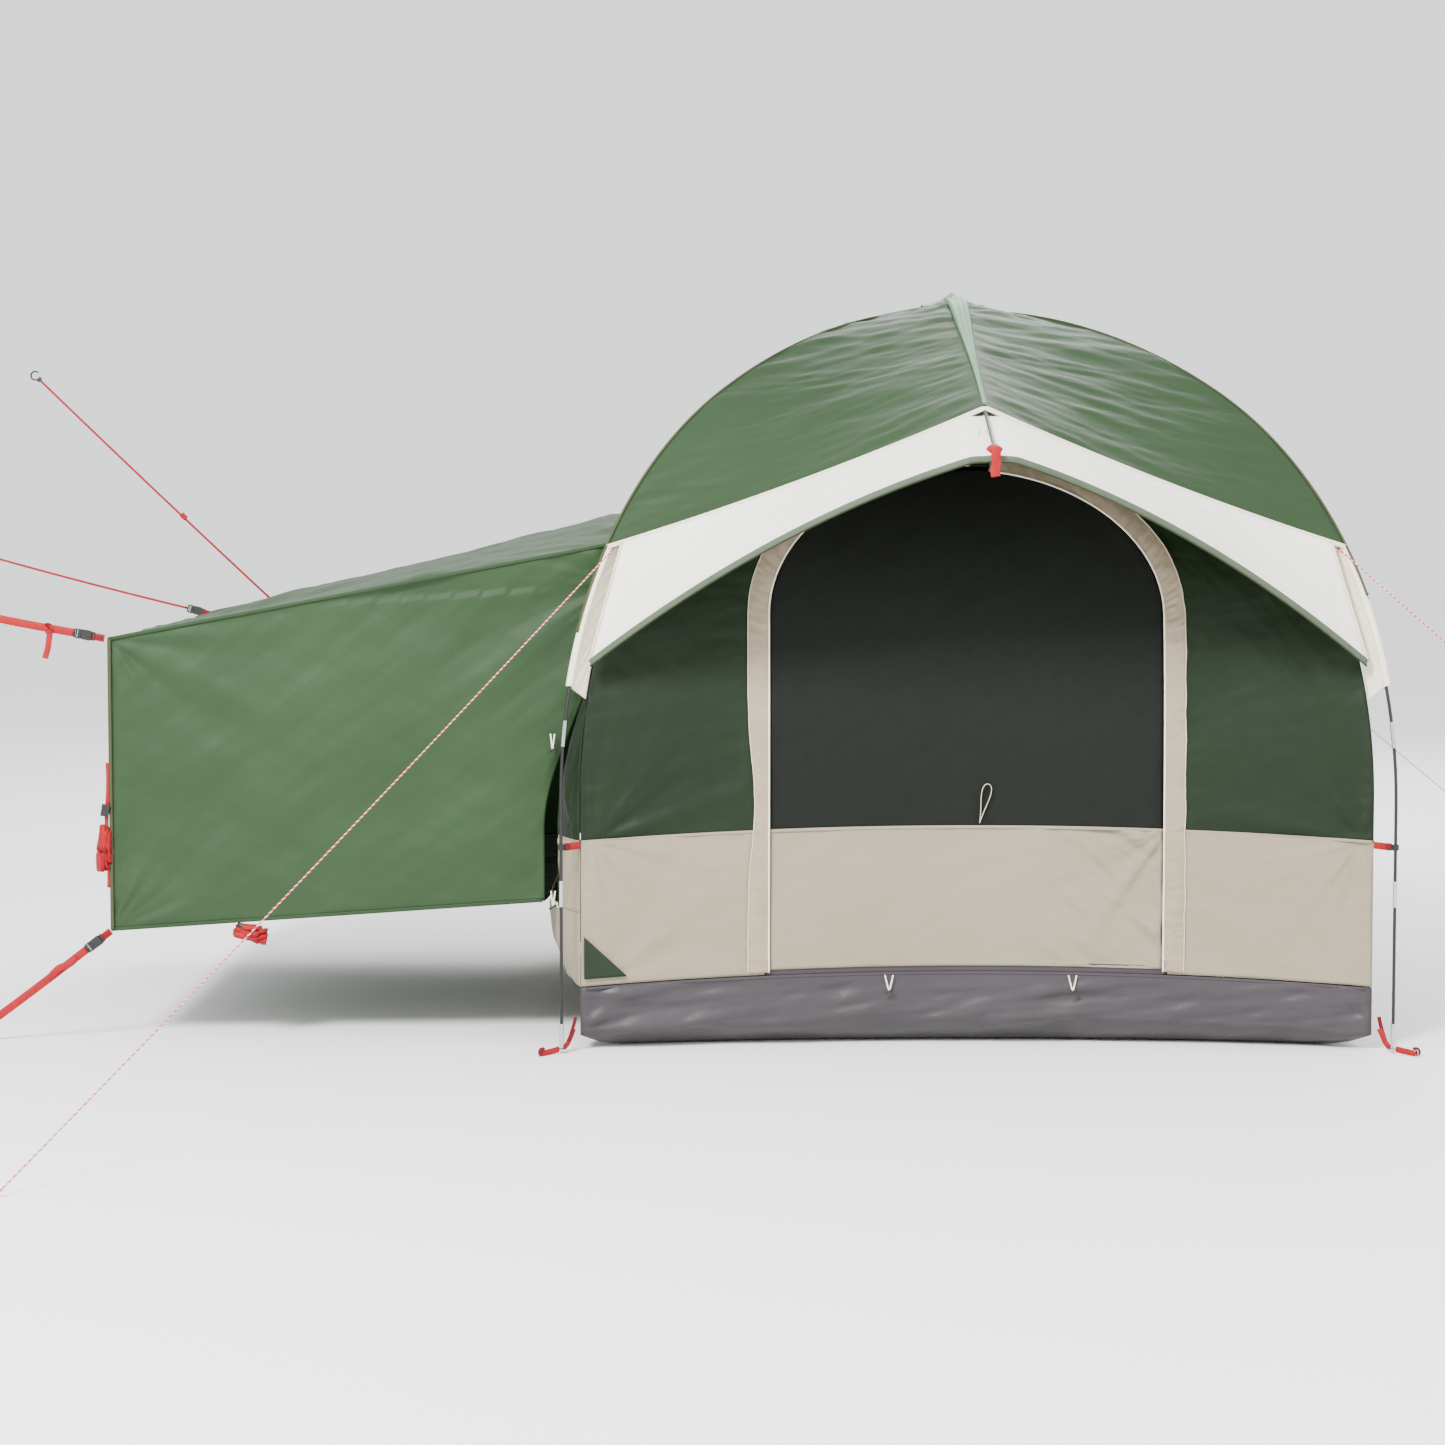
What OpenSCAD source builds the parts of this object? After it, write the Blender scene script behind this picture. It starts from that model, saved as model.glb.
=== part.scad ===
// Square dome tent on two crossed poles, with a ridge pole, a roof fly with a front
// visor, and a sleeve on its left side that leads to a vehicle.
// +Z is up, the door faces -Y, and the sleeve runs to -X. The origin is the middle of
// the groundsheet's underside.

/* [Dome] */
// Height of the crossing of the main poles
top_height = 2200; // [2150:10:2300]
// Radius of the top arc of a main pole
top_radius = 2100; // [2050:10:2200]
// Radius of the shoulder arc of a main pole
shoulder_radius = 1300; // [1280:10:1350]
// Radius of the lower arc of a main pole
lower_radius = 1550; // [1500:10:1600]
// Distance from a main pole to the wall corner inside it
wall_gap = 75; // [60:5:90]
// Thickness of a cloth panel
cloth = 3; // [2:0.5:4]

/* [Poles] */
// Diameter of a fibreglass rod
rod_d = 9.5; // [8:0.5:9.5]
// Diameter of a steel ferrule
ferrule_d = 12; // [11.5:0.5:12.5]
// Length of a ferrule
ferrule_len = 75; // [60:5:90]
// Rods in one main pole, counted on one half of it
rods_per_half = 7; // [5:1:8]
// Height of the ridge pole where it passes over the crossing
ridge_height = 2235; // [2230:1:2250]

/* [Door and walls] */
// Middle of the door, to the right of the tent's middle
door_x = -25; // [-40:5:0]
// Half the width of the door opening
door_half = 585; // [560:5:600]
// Height at which the sides of the door turn into its arch
door_spring = 1270; // [1200:10:1280]
// Rise of the arch
door_arch = 430; // [400:10:440]
// Height of the seam between the lower and the upper wall panels
seam_height = 610; // [580:10:640]
// Height of the tub's wall
tub_height = 185; // [170:5:200]

/* [Vehicle sleeve] */
// Distance of the sleeve's mouth from the tent's middle
mouth_x = 2550; // [2450:10:2600]
// Height of the mouth's top edge
mouth_top = 1195; // [1150:5:1220]
// Height of the mouth's bottom edge
mouth_bottom = 335; // [320:5:360]
// Distance of the sleeve's near panel from the middle
near_y = 1000; // [980:5:1010]
// Distance of the sleeve's far panel from the middle
far_y = 1055; // [1040:5:1060]

/* [Hidden] */
$fn = 32;

// ---- the curve of a main pole, in the upright plane that holds it ----
// Angles from the upright at which the top arc and the shoulder arc end
top_angle = 30;
shoulder_angle = 76;
top_centre = [0, top_height - top_radius];
top_end = top_centre + top_radius * [sin(top_angle), cos(top_angle)];
shoulder_centre = top_end - shoulder_radius * [sin(top_angle), cos(top_angle)];
shoulder_end = shoulder_centre + shoulder_radius * [sin(shoulder_angle), cos(shoulder_angle)];
lower_centre = shoulder_end - lower_radius * [sin(shoulder_angle), cos(shoulder_angle)];
foot_s = lower_centre.x + lower_radius;
leg_len = lower_centre.y;
arc_deg = 180 / PI;
lower_len = lower_radius * (90 - shoulder_angle) / arc_deg;
shoulder_len = shoulder_radius * (shoulder_angle - top_angle) / arc_deg;
top_len = top_radius * top_angle / arc_deg;
half_len = leg_len + lower_len + shoulder_len + top_len;
// Pole B passes this far under pole A
cross_gap = 14;

// Distance from the middle at height z, on the curve moved inwards by off
function pole_s(z, off = 0) =
  z <= leg_len ? foot_s - off
  : z <= lower_centre.y + (lower_radius - off) * cos(shoulder_angle)
    ? lower_centre.x + sqrt(pow(lower_radius - off, 2) - pow(z - lower_centre.y, 2))
  : z <= shoulder_centre.y + (shoulder_radius - off) * cos(top_angle)
    ? shoulder_centre.x + sqrt(pow(shoulder_radius - off, 2) - pow(z - shoulder_centre.y, 2))
  : sqrt(max(0, pow(top_radius - off, 2) - pow(z - top_centre.y, 2)));

// Point [distance from the middle, height] where the curve's normal leans by a
function pole_at(a, off = 0) =
  a <= top_angle ? top_centre + (top_radius - off) * [sin(a), cos(a)]
  : a <= shoulder_angle ? shoulder_centre + (shoulder_radius - off) * [sin(a), cos(a)]
  : lower_centre + (lower_radius - off) * [sin(a), cos(a)];

// ---- small helpers ----
function mix(a, b, t) = a + (b - a) * t;
function clamp(x, lo, hi) = min(hi, max(lo, x));
function ease(x, lo, hi) = let (t = clamp((x - lo) / (hi - lo), 0, 1)) t * t * (3 - 2 * t);
function unit(v) = v / max(norm(v), 1e-9);
function steps(n) = [for (i = [0:n]) i / n];

// Normal of a grid of points
function grid_normal(p, i, j) =
  let (i0 = max(i - 1, 0), i1 = min(i + 1, len(p) - 1))
  let (j0 = max(j - 1, 0), j1 = min(j + 1, len(p[0]) - 1))
  unit(cross(p[i1][j] - p[i0][j], p[i][j1] - p[i][j0]));

// Closed sheet on a grid of points, its thickness on the far side from the normal
module sheet(p, thick = cloth) {
  rows = len(p);
  cols = len(p[0]);
  back = rows * cols;
  points = concat(
    [for (i = [0:rows - 1]) for (j = [0:cols - 1]) p[i][j]],
    [for (i = [0:rows - 1]) for (j = [0:cols - 1]) p[i][j] - thick * grid_normal(p, i, j)]);
  ring = concat(
    [for (j = [0:cols - 2]) j],
    [for (i = [0:rows - 2]) i * cols + cols - 1],
    [for (j = [cols - 1:-1:1]) (rows - 1) * cols + j],
    [for (i = [rows - 1:-1:1]) i * cols]);
  count = len(ring);
  faces = concat(
    [for (i = [0:rows - 2]) for (j = [0:cols - 2])
      each [[i * cols + j, i * cols + j + 1, (i + 1) * cols + j + 1],
            [i * cols + j, (i + 1) * cols + j + 1, (i + 1) * cols + j]]],
    [for (i = [0:rows - 2]) for (j = [0:cols - 2])
      each [[back + i * cols + j, back + (i + 1) * cols + j + 1, back + i * cols + j + 1],
            [back + i * cols + j, back + (i + 1) * cols + j, back + (i + 1) * cols + j + 1]]],
    [for (k = [0:count - 1]) let (a = ring[k], b = ring[(k + 1) % count])
      each [[a, back + a, back + b], [a, back + b, b]]]);
  polyhedron(points = points, faces = faces);
}

// Rope or webbing along a route: w across the route and the level direction, h across both
module rope(route, w, h, sides = 8, level = [0, 0, 1]) {
  last = len(route) - 1;
  rings = [for (i = [0:last])
    let (t = unit(route[min(i + 1, last)] - route[max(i - 1, 0)]))
    let (side = unit(cross(t, level)))
    let (up = cross(side, t))
    [for (k = [0:sides - 1]) let (a = 360 * (k + 0.5) / sides)
      route[i] + side * cos(a) * w / 2 + up * sin(a) * h / 2]];
  points = [for (r = rings) each r];
  faces = concat(
    [[for (k = [0:sides - 1]) k]],
    [[for (k = [sides - 1:-1:0]) last * sides + k]],
    [for (i = [0:last - 1]) for (k = [0:sides - 1]) let (k2 = (k + 1) % sides)
      each [[i * sides + k, (i + 1) * sides + k, (i + 1) * sides + k2],
            [i * sides + k, (i + 1) * sides + k2, i * sides + k2]]]);
  polyhedron(points = points, faces = faces);
}

// Taut line between two points that hangs down by sag in its middle
function taut(a, b, sag, n) =
  [for (t = steps(n)) mix(a, b, t) - [0, 0, 4 * sag * t * (1 - t)]];

// Round rod or tube from point a towards point b
module rod_between(a, b, d, bore = 0) {
  v = b - a;
  translate(a)
    rotate([0, acos(v.z / norm(v)), atan2(v.y, v.x)])
      difference() {
        cylinder(d = d, h = norm(v));
        if (bore > 0)
          translate([0, 0, -1]) cylinder(d = bore, h = norm(v) + 2);
      }
}

// Children at each of the four corners, +X pointing outwards through the corner
module corners(which = [0, 1, 2, 3]) {
  for (k = which)
    rotate([0, 0, 225 + 90 * k]) children();
}

// ---- poles ----
seg_gap = 0.5;
// Hair gap between the straight and curved stretches of one rod
hair = 0.02;
bore_d = 5;
tip_socket = 42;

module tube_profile(d, bore) {
  difference() {
    circle(d = d);
    circle(d = bore);
  }
}

// Arc of a pole: from is the length already used where the arc starts
module pole_arc(centre, radius, from, lean, l0, l1, d, bore) {
  a = max(l0, from + hair);
  b = min(l1, from + radius * lean[1] / arc_deg);
  if (b > a)
    translate([centre.x, 0, centre.y])
      rotate([90, 0, 0])
        rotate([0, 0, lean[0] + (a - from) / radius * arc_deg])
          rotate_extrude(angle = (b - a) / radius * arc_deg)
            translate([radius, 0]) tube_profile(d, bore);
}

// Stretch of a pole between two lengths from its foot, the whole pole lowered by drop
module pole_piece(l0, l1, d, bore, drop) {
  leg = leg_len - drop;
  down = [0, drop];
  if (l0 < leg)
    translate([foot_s, 0, l0])
      linear_extrude(min(l1, leg) - l0) tube_profile(d, bore);
  pole_arc(lower_centre - down, lower_radius, leg, [0, 90 - shoulder_angle], l0, l1, d, bore);
  pole_arc(shoulder_centre - down, shoulder_radius, leg + lower_len,
           [90 - shoulder_angle, shoulder_angle - top_angle], l0, l1, d, bore);
  pole_arc(top_centre - down, top_radius, leg + lower_len + shoulder_len,
           [90 - top_angle, top_angle], l0, l1, d, bore);
}

module pole_rods(which, drop) {
  seg = (half_len - drop) / rods_per_half;
  corners(which)
    for (k = [0:rods_per_half - 1])
      pole_piece(k == 0 ? tip_socket : k * seg + seg_gap / 2, (k + 1) * seg - seg_gap / 2,
                 rod_d, bore_d, drop);
}

module ferrules_of(which, drop) {
  seg = (half_len - drop) / rods_per_half;
  corners(which)
    for (k = [1:rods_per_half])
      pole_piece(k * seg - ferrule_len / 2,
                 k == rods_per_half ? k * seg : k * seg + ferrule_len / 2,
                 ferrule_d, rod_d + 0.2, drop);
}

// ---- ridge pole: an arc over the crossing with a straight run to each end ----
ridge_radius = 1300;
ridge_lean = 18.26;
ridge_front = 1705;
ridge_rear = 1380;
ridge_y = ridge_radius * sin(ridge_lean);

// Height of the ridge pole at distance y from the middle
function ridge_z(y) =
  y < ridge_y ? ridge_height - ridge_radius + sqrt(pow(ridge_radius, 2) - y * y)
  : ridge_height - ridge_radius * (1 - cos(ridge_lean)) - (y - ridge_y) * tan(ridge_lean);

// Straight tube on the ridge line between two distances, side -1 at the front
module ridge_tube(side, y0, y1, d, bore) {
  rod_between([0, side * y0, ridge_z(y0)], [0, side * y1, ridge_z(y1)], d, bore);
}

module ridge_arc(d, bore) {
  translate([0, 0, ridge_height - ridge_radius])
    rotate([90, 0, 90])
      rotate([0, 0, 90 - ridge_lean])
        rotate_extrude(angle = 2 * ridge_lean)
          translate([ridge_radius, 0]) tube_profile(d, bore);
}

// Distances at which the ridge pole's rods meet
ridge_joint = [640, 1150];

module pole_a_rods() {
  color("#26282a") pole_rods([0, 2], 0);
}

module pole_b_rods() {
  color("#26282a") pole_rods([1, 3], cross_gap);
}

module ridge_pole_rods() {
  color("#26282a") {
    ridge_arc(rod_d, bore_d);
    for (side = [-1, 1])
      ridge_tube(side, ridge_y + hair, ridge_joint[0] - seg_gap, rod_d, bore_d);
    ridge_tube(-1, ridge_joint[0], ridge_joint[1] - seg_gap, rod_d, bore_d);
    ridge_tube(-1, ridge_joint[1], ridge_front, rod_d, bore_d);
    ridge_tube(1, ridge_joint[0], ridge_rear, rod_d, bore_d);
  }
}

module pole_ferrules() {
  color("#b9bcc0") {
    ferrules_of([0, 2], 0);
    ferrules_of([1, 3], cross_gap);
    for (y = ridge_joint)
      ridge_tube(-1, y - ferrule_len / 2, y + ferrule_len / 2, ferrule_d, rod_d + 0.2);
    ridge_tube(1, ridge_joint[0] - ferrule_len / 2, ridge_joint[0] + ferrule_len / 2,
               ferrule_d, rod_d + 0.2);
  }
}

// Point of a pole at a length from its foot, the whole pole lowered by drop
function pole_point(l, drop) =
  let (leg = leg_len - drop, down = [0, drop])
  let (a1 = 90 - (l - leg) / lower_radius * arc_deg)
  let (a2 = shoulder_angle - (l - leg - lower_len) / shoulder_radius * arc_deg)
  let (a3 = top_angle - (l - leg - lower_len - shoulder_len) / top_radius * arc_deg)
  let (p = l <= leg ? [foot_s, l]
    : l <= leg + lower_len ? lower_centre - down + lower_radius * [sin(a1), cos(a1)]
    : l <= leg + lower_len + shoulder_len
      ? shoulder_centre - down + shoulder_radius * [sin(a2), cos(a2)]
    : top_centre - down + top_radius * [sin(a3), cos(a3)])
  [p.x, 0, p.y];

// Elastic cord inside a pole, from one foot to the other
cord_d = 2.6;
cord_steps = 34;

module cord_inside(drop) {
  half = [for (t = steps(cord_steps)) pole_point(mix(tip_socket + 2, half_len - drop, t), drop)];
  other = [for (k = [cord_steps - 1:-1:0]) [-half[k].x, 0, half[k].z]];
  rope(concat(half, other), cord_d, cord_d, 6, [0, 1, 0]);
}

module shock_cords() {
  color("white") {
    rotate([0, 0, 45]) cord_inside(0);
    rotate([0, 0, -45]) cord_inside(cross_gap);
  }
}

// Steel end of a main pole: a socket for the rod over a pin for the corner ring,
// and a plain cap on each end of the ridge pole
pin_d = 6;
socket_top = 85;

module pole_tips() {
  color("#c4c7ca") {
    corners()
      translate([foot_s, 0, 0]) {
        cylinder(d = pin_d, h = 22);
        translate([0, 0, 22])
          difference() {
            cylinder(d = ferrule_d + 1, h = socket_top - 22);
            translate([0, 0, tip_socket - 22 - 1]) cylinder(d = rod_d + 0.2, h = socket_top);
          }
      }
    ridge_tube(-1, ridge_front + 1, ridge_front + 12, ferrule_d, 0);
    ridge_tube(1, ridge_rear + 1, ridge_rear + 12, ferrule_d, 0);
  }
}

// ---- hardware at the corners ----
clip_height = 600;
ring_height = 10;

module pole_clips() {
  color("#1b1c1e")
    corners()
      translate([foot_s, 0, clip_height]) {
        difference() {
          cylinder(d = 20, h = 16, center = true);
          cylinder(d = rod_d + 0.6, h = 20, center = true);
        }
        translate([-19, 0, 0]) cube([20, 9, 12], center = true);
      }
}

module corner_rings() {
  color("#8f9296")
    corners()
      translate([foot_s, 0, ring_height])
        difference() {
          cylinder(d = 20, h = 4);
          translate([0, 0, -1]) cylinder(d = pin_d + 1, h = 6);
        }
}

// Webbing from the clip to the wall corner, from the tub corner to the ring, and from
// the ring to the peg
peg_reach = 86;
tub_lift = 45;

module corner_webbing() {
  color("#c3182c")
    corners() {
      translate([foot_s - wall_gap + 5, -1.5, clip_height - 11]) cube([40, 3, 22]);
      rotate([90, 0, 0])
        linear_extrude(18, center = true)
          polygon([[foot_s - wall_gap + 1, tub_lift + 22], [foot_s - wall_gap + 1, tub_lift + 17],
                   [foot_s - 34, 24], [foot_s - 11, ring_height + 1],
                   [foot_s - 11, ring_height + 4], [foot_s - 32, 28]]);
      rotate([90, 0, 0])
        linear_extrude(18, center = true)
          polygon([[foot_s + 11, ring_height], [foot_s + 11, ring_height + 3],
                   [foot_s + 46, 9], [foot_s + peg_reach - 6, 8],
                   [foot_s + peg_reach - 6, 5], [foot_s + 46, 6]]);
    }
}

// Head of a peg and the length of its shaft above the ground
module peg_head() {
  cylinder(d = 4, h = 12);
  translate([-6, 0, 12])
    rotate([90, 0, 0])
      rotate_extrude(angle = 180) translate([6, 0]) circle(d = 4);
}

module corner_pegs() {
  color("#a9acb0")
    corners() translate([foot_s + peg_reach, 0, 0]) peg_head();
}

// ---- walls ----
// Every wall is described as the front one, and turned about Z to its own side.
wall_bow = 100;
seam_rise = 35;
wall_top = 1725;
corner_trim = 0.997;

// Half the width of a wall at height v
function wall_w(v) = pole_s(v, wall_gap) / sqrt(2);
// How far the middle of a wall stands inside its corners
function bow(v) = wall_bow * (1 - 0.5 * ease(v, 700, 1500));
// How far the middle of a level seam rises above its ends
function rise(v) = seam_rise * (1 - ease(v, 700, 1400));

// Point of the front wall at x across and height v, moved outwards by off
function wall_at(x, v, off = 0) =
  let (w = wall_w(v), q = 1 - pow(x / w, 2))
  [x, bow(v) * q - w - off, v + rise(v) * q];

// Grid over part of a wall; at u = -1 and 1 it reaches the corners
function wall_grid(v0, v1, rows, cols, u0 = -corner_trim, u1 = corner_trim) =
  [for (b = steps(rows)) let (v = mix(v0, v1, b))
    [for (a = steps(cols)) wall_at(mix(u0, u1, a) * wall_w(v), v)]];

// Half the width of the door's outline at height v, made wider by off
function door_w(v, off) =
  v <= door_spring ? door_half + off
  : (door_half + off) * sqrt(max(0, 1 - pow((v - door_spring) / (door_arch + off), 2)));

// Heights from v0 to v1, closer together towards the arch's crown
function door_heights(v0, v1, rows) = [for (b = steps(rows)) mix(v0, v1, 1 - pow(1 - b, 1.6))];

// Part of the front wall beside the door: side -1 is the left one
module wall_beside_door(side, v0, v1, rows) {
  sheet([for (v = door_heights(v0, v1, rows))
    let (inner = door_x + side * door_w(v, 12), outer = side * corner_trim * wall_w(v))
    [for (a = steps(4)) wall_at(side < 0 ? mix(outer, inner, a) : mix(inner, outer, a), v)]]);
}

tub_rim = 1010;
tub_gap = 2;

// Edge of the groundsheet's flat floor, side by side
function floor_edge(k) =
  [for (a = steps(10)) let (u = 2 * a - 1) if (a < 1)
    let (x = u * tub_rim, y = wall_bow * 0.7 * (1 - u * u) - tub_rim, c = cos(90 * k), s = sin(90 * k))
    [x * c - y * s, x * s + y * c]];

module tub_floor() {
  color("#96939a")
    linear_extrude(cloth) polygon([for (k = [0:3]) each floor_edge(k)]);
}

module tub_walls() {
  color("#96939a")
    for (k = [0:3])
      rotate([0, 0, 90 * k])
        sheet([
          for (v = [0, tub_lift, 110, tub_height - tub_gap])
            [for (a = steps(10)) let (u = (2 * a - 1) * corner_trim)
              v == 0 ? [u * (tub_rim + 4), wall_bow * 0.7 * (1 - u * u) - tub_rim - 4, 0.2]
              : wall_at(u * wall_w(v), v)]]);
}

module front_wall(side) {
  color("#c0b8aa") wall_beside_door(side, tub_height + tub_gap, seam_height - tub_gap, 4);
  color("#3c5638") wall_beside_door(side, seam_height + tub_gap, wall_top, 12);
}

module front_wall_left() {
  front_wall(-1);
}

module front_wall_right() {
  front_wall(1);
}

module plain_wall() {
  color("#c0b8aa") sheet(wall_grid(tub_height + tub_gap, seam_height - tub_gap, 3, 10));
  color("#3c5638") sheet(wall_grid(seam_height + tub_gap, wall_top, 8, 10));
}

module right_wall() {
  rotate([0, 0, 90]) plain_wall();
}

module rear_wall() {
  rotate([0, 0, 180]) plain_wall();
}

// The left wall bulges out round the sleeve's end
left_bulge = 110;
passage_bottom = 402;
passage_top = 1450;
passage_edge = 0.84;

function left_at(u, v) =
  let (w = wall_w(v), b = ease(v, 60, 330) * (1 - ease(v, 640, 1150)))
  [u * w, -w - left_bulge * b * (1 - pow(abs(u), 6)), v];

module left_sheet(v0, v1, rows, cols, u0, u1) {
  rotate([0, 0, -90])
    sheet([for (b = steps(rows)) [for (a = steps(cols)) left_at(mix(u0, u1, a), mix(v0, v1, b))]]);
}

module left_wall_lower() {
  color("#c0b8aa")
    left_sheet(tub_height + seam_rise + tub_gap, passage_bottom, 3, 14, -corner_trim, corner_trim);
}

module left_wall_sides() {
  for (side = [-1, 1]) {
    u0 = side < 0 ? -corner_trim : passage_edge;
    u1 = side < 0 ? -passage_edge : corner_trim;
    color("#c0b8aa") left_sheet(passage_bottom + tub_gap, seam_height - tub_gap, 3, 3, u0, u1);
    color("#3c5638") left_sheet(seam_height + tub_gap, passage_top, 8, 3, u0, u1);
  }
}

module left_wall_top() {
  color("#3c5638") left_sheet(passage_top + tub_gap, wall_top, 3, 10, -corner_trim, corner_trim);
}

// Mesh ceiling: four gores from the top of the walls to the crown
ceiling_low = wall_top + 8;
crown_half = 130;
crown_height = 2118;

module ceiling_mesh() {
  color("#d8d4c8") {
    for (k = [0:3])
      rotate([0, 0, 90 * k])
        sheet([for (b = steps(6))
          let (v = mix(ceiling_low, 2105, 1 - pow(1 - b, 1.5)), w = pole_s(v, wall_gap) / sqrt(2))
          [for (a = steps(6)) let (u = (2 * a - 1) * corner_trim) [u * w, -w + 8 * (1 - u * u), v]]]);
    translate([-crown_half, -crown_half, crown_height - 20])
      cube([2 * crown_half, 2 * crown_half, cloth]);
  }
}

// ---- door ----
door_bottom = 199;
door_top = door_spring + door_arch - 6;

function door_grid(v0, v1, rows, cols) =
  [for (v = door_heights(v0, v1, rows))
    [for (a = steps(cols)) wall_at(door_x + (2 * a - 1) * door_w(v, -9), v)]];

module door_lower() {
  color("#c0b8aa") sheet(door_grid(door_bottom, seam_height - tub_gap, 4, 10));
}

module door_window() {
  color("#2e332c") sheet(door_grid(seam_height + tub_gap, door_top, 12, 10));
}

// Loop of tape sewn over the door's seam
module door_pull() {
  color("#e2d8c6")
    translate(wall_at(15, seam_height + 70, 11))
      rotate([90, 12, 0])
        linear_extrude(2, center = true)
          difference() {
            offset(delta = 10) square([6, 92], center = true);
            offset(delta = 4) square([6, 92], center = true);
          }
}

// Storm flap along one side of the door, and the zip under it
flap_out = 55;
flap_in = 6;
flap_off = 9;

// Point beside the door's outline: k from 0 at the sill to 1 near the crown
function door_rim(side, k, off, lift) =
  let (straight = 0.62, a = 82 * (k - straight) / (1 - straight))
  k <= straight
    ? wall_at(door_x + side * (door_half + off), mix(tub_height + 8, door_spring, k / straight), lift)
    : wall_at(door_x + side * (door_half + off) * cos(a), door_spring + (door_arch + off) * sin(a), lift);

module rim_strip(side, off0, off1, lift, cols, thick) {
  sheet([for (k = steps(26))
    [for (a = steps(cols))
      door_rim(side, k, side < 0 ? mix(off1, off0, a) : mix(off0, off1, a), lift)]], thick);
}

module flap_left() {
  color("#e2d8c6") rim_strip(-1, -flap_in, flap_out, flap_off, 2, 2);
}

module flap_right() {
  color("#e2d8c6") rim_strip(1, -flap_in, flap_out, flap_off, 2, 2);
}

module zip_tapes() {
  color("#d6cbb8") {
    for (side = [-1, 1], off = [-4, 2])
      rim_strip(side, off, off + 3, 0, 1, cloth);
  }
}

// Slider on the zip, low at the sill, with its pull tab
module zip_slider(side) {
  p = wall_at(door_x + side * (door_half + 0.5), tub_height + 50, 3);
  color("#77797c")
    translate(p) {
      translate([0, -2.5, 0]) cube([11, 3, 16], center = true);
      translate([0, 5.5, 0]) cube([11, 3, 16], center = true);
      translate([0, 1.5, 6]) cube([1.6, 11, 3], center = true);
    }
}

module zip_slider_left() {
  zip_slider(-1);
}

module zip_slider_right() {
  zip_slider(1);
}

// ---- roof fly ----
fly_off = -12;
front_end = 59;
side_end = 66;
rear_end = 72.4;
fly_peak_y = 1372;

// Point over a main pole, side -1 on the left and 1 on the right of the front wall
function over_pole(side, a) = let (p = pole_at(a, fly_off)) [side * p.x / sqrt(2), -p.x / sqrt(2), p.y];

// Front or rear gore: ruled from the ridge pole out to the main poles on both sides
function gore_at(u, k, last) =
  let (pole = over_pole(u < 0 ? -1 : 1, mix(4, last, k)), y = mix(70, fly_peak_y, k))
  mix([0, -y, ridge_z(y) + 13], pole, abs(u)) - [0, 0, 70 * k * abs(u) * (1 - abs(u))];

module ridge_gore(last) {
  sheet([for (b = steps(12)) [for (a = steps(16)) gore_at(corner_trim * (1 - 2 * a), b, last)]]);
}

module fly_front() {
  color("#4f7a4a") ridge_gore(front_end);
}

module fly_rear() {
  color("#4f7a4a") rotate([0, 0, 180]) ridge_gore(rear_end);
}

// Side gore under a list of [place across, lean of the pole's normal at the lower edge]
module side_gore(edge) {
  sheet([for (b = steps(12))
    [for (e = edge)
      let (p = pole_at(mix(3, e[1], b), fly_off), t = p.x / sqrt(2))
      [e[0] * t, 14 * (1 - e[0] * e[0]) * b - t, p.y]]]);
}

// The left gore ends above the sleeve's roof
module fly_left() {
  color("#4f7a4a")
    rotate([0, 0, -90])
      side_gore([[0.992, 56.5], [0.85, 55], [0.6, 53], [0.3, 51.6], [0, 51.2],
                 [-0.3, 51.6], [-0.6, 53], [-0.85, 55], [-0.992, 58]]);
}

module fly_right() {
  color("#4f7a4a")
    rotate([0, 0, 90])
      side_gore([for (a = steps(8)) let (u = mix(corner_trim, -0.975, a))
        [u, mix(side_end, rear_end, (1 + u) / 2)]]);
}

crest_half = 100;

module ridge_crest() {
  color("#7fae84")
    sheet([for (b = steps(6)) let (y = mix(-crest_half, crest_half, b))
      [for (a = steps(6)) let (u = 2 * a - 1)
        [-u * crest_half, -y, ridge_z(abs(y)) + 22 - 28 * pow(abs(u), 0.8)]]]);
}

// ---- visor ----
visor_front = 1700;

// Dip of the visor where the ridge pole lies on it
function under_ridge(u) = 1 - ease(abs(u), 0, 0.08);
function visor_top_at(u) = gore_at(0.97 * u, 1, front_end) - [0, 5, 3 + 22 * under_ridge(u)];
function visor_low_at(u) =
  let (x = 1140 * u, dip = under_ridge(u))
  [x, 530 * pow(abs(u), 1.15) - visor_front + 5 * dip,
   1733 - 0.2855 * abs(x) - 0.000219 * x * x - 15 * dip];

module visor() {
  color("#eceae4")
    sheet([for (b = steps(6)) [for (a = steps(20)) let (u = (1 - 2 * a) * 0.985)
      mix(visor_top_at(u), visor_low_at(u), b)]]);
}

module ridge_pocket() {
  color("#c3182c")
    translate([0, -visor_front - 8, ridge_z(visor_front + 8)]) {
      difference() {
        rotate([18, 0, 0]) cube([40, 22, 30], center = true);
        rotate([90 + ridge_lean, 0, 0]) cylinder(d = ferrule_d + 4, h = 60, center = true);
      }
      translate([0, -6, -46]) cube([26, 3, 66], center = true);
    }
}

// Open sleeve of cloth round a front pole, from the fly's corner downwards
module pole_sleeve(drop) {
  rotate([90, 0, 0])
    for (k = [0:1])
      translate([shoulder_centre.x, shoulder_centre.y - drop, 0])
        rotate([0, 0, 21.4 - 8.6 * k])
          rotate_extrude(angle = 8.4)
            translate([shoulder_radius, 0])
              difference() {
                circle(r = 14);
                circle(r = 11.5);
              }
}

module front_pole_sleeves() {
  color("#e2d8c6") {
    corners([0]) pole_sleeve(0);
    corners([1]) pole_sleeve(cross_gap);
  }
}

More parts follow.
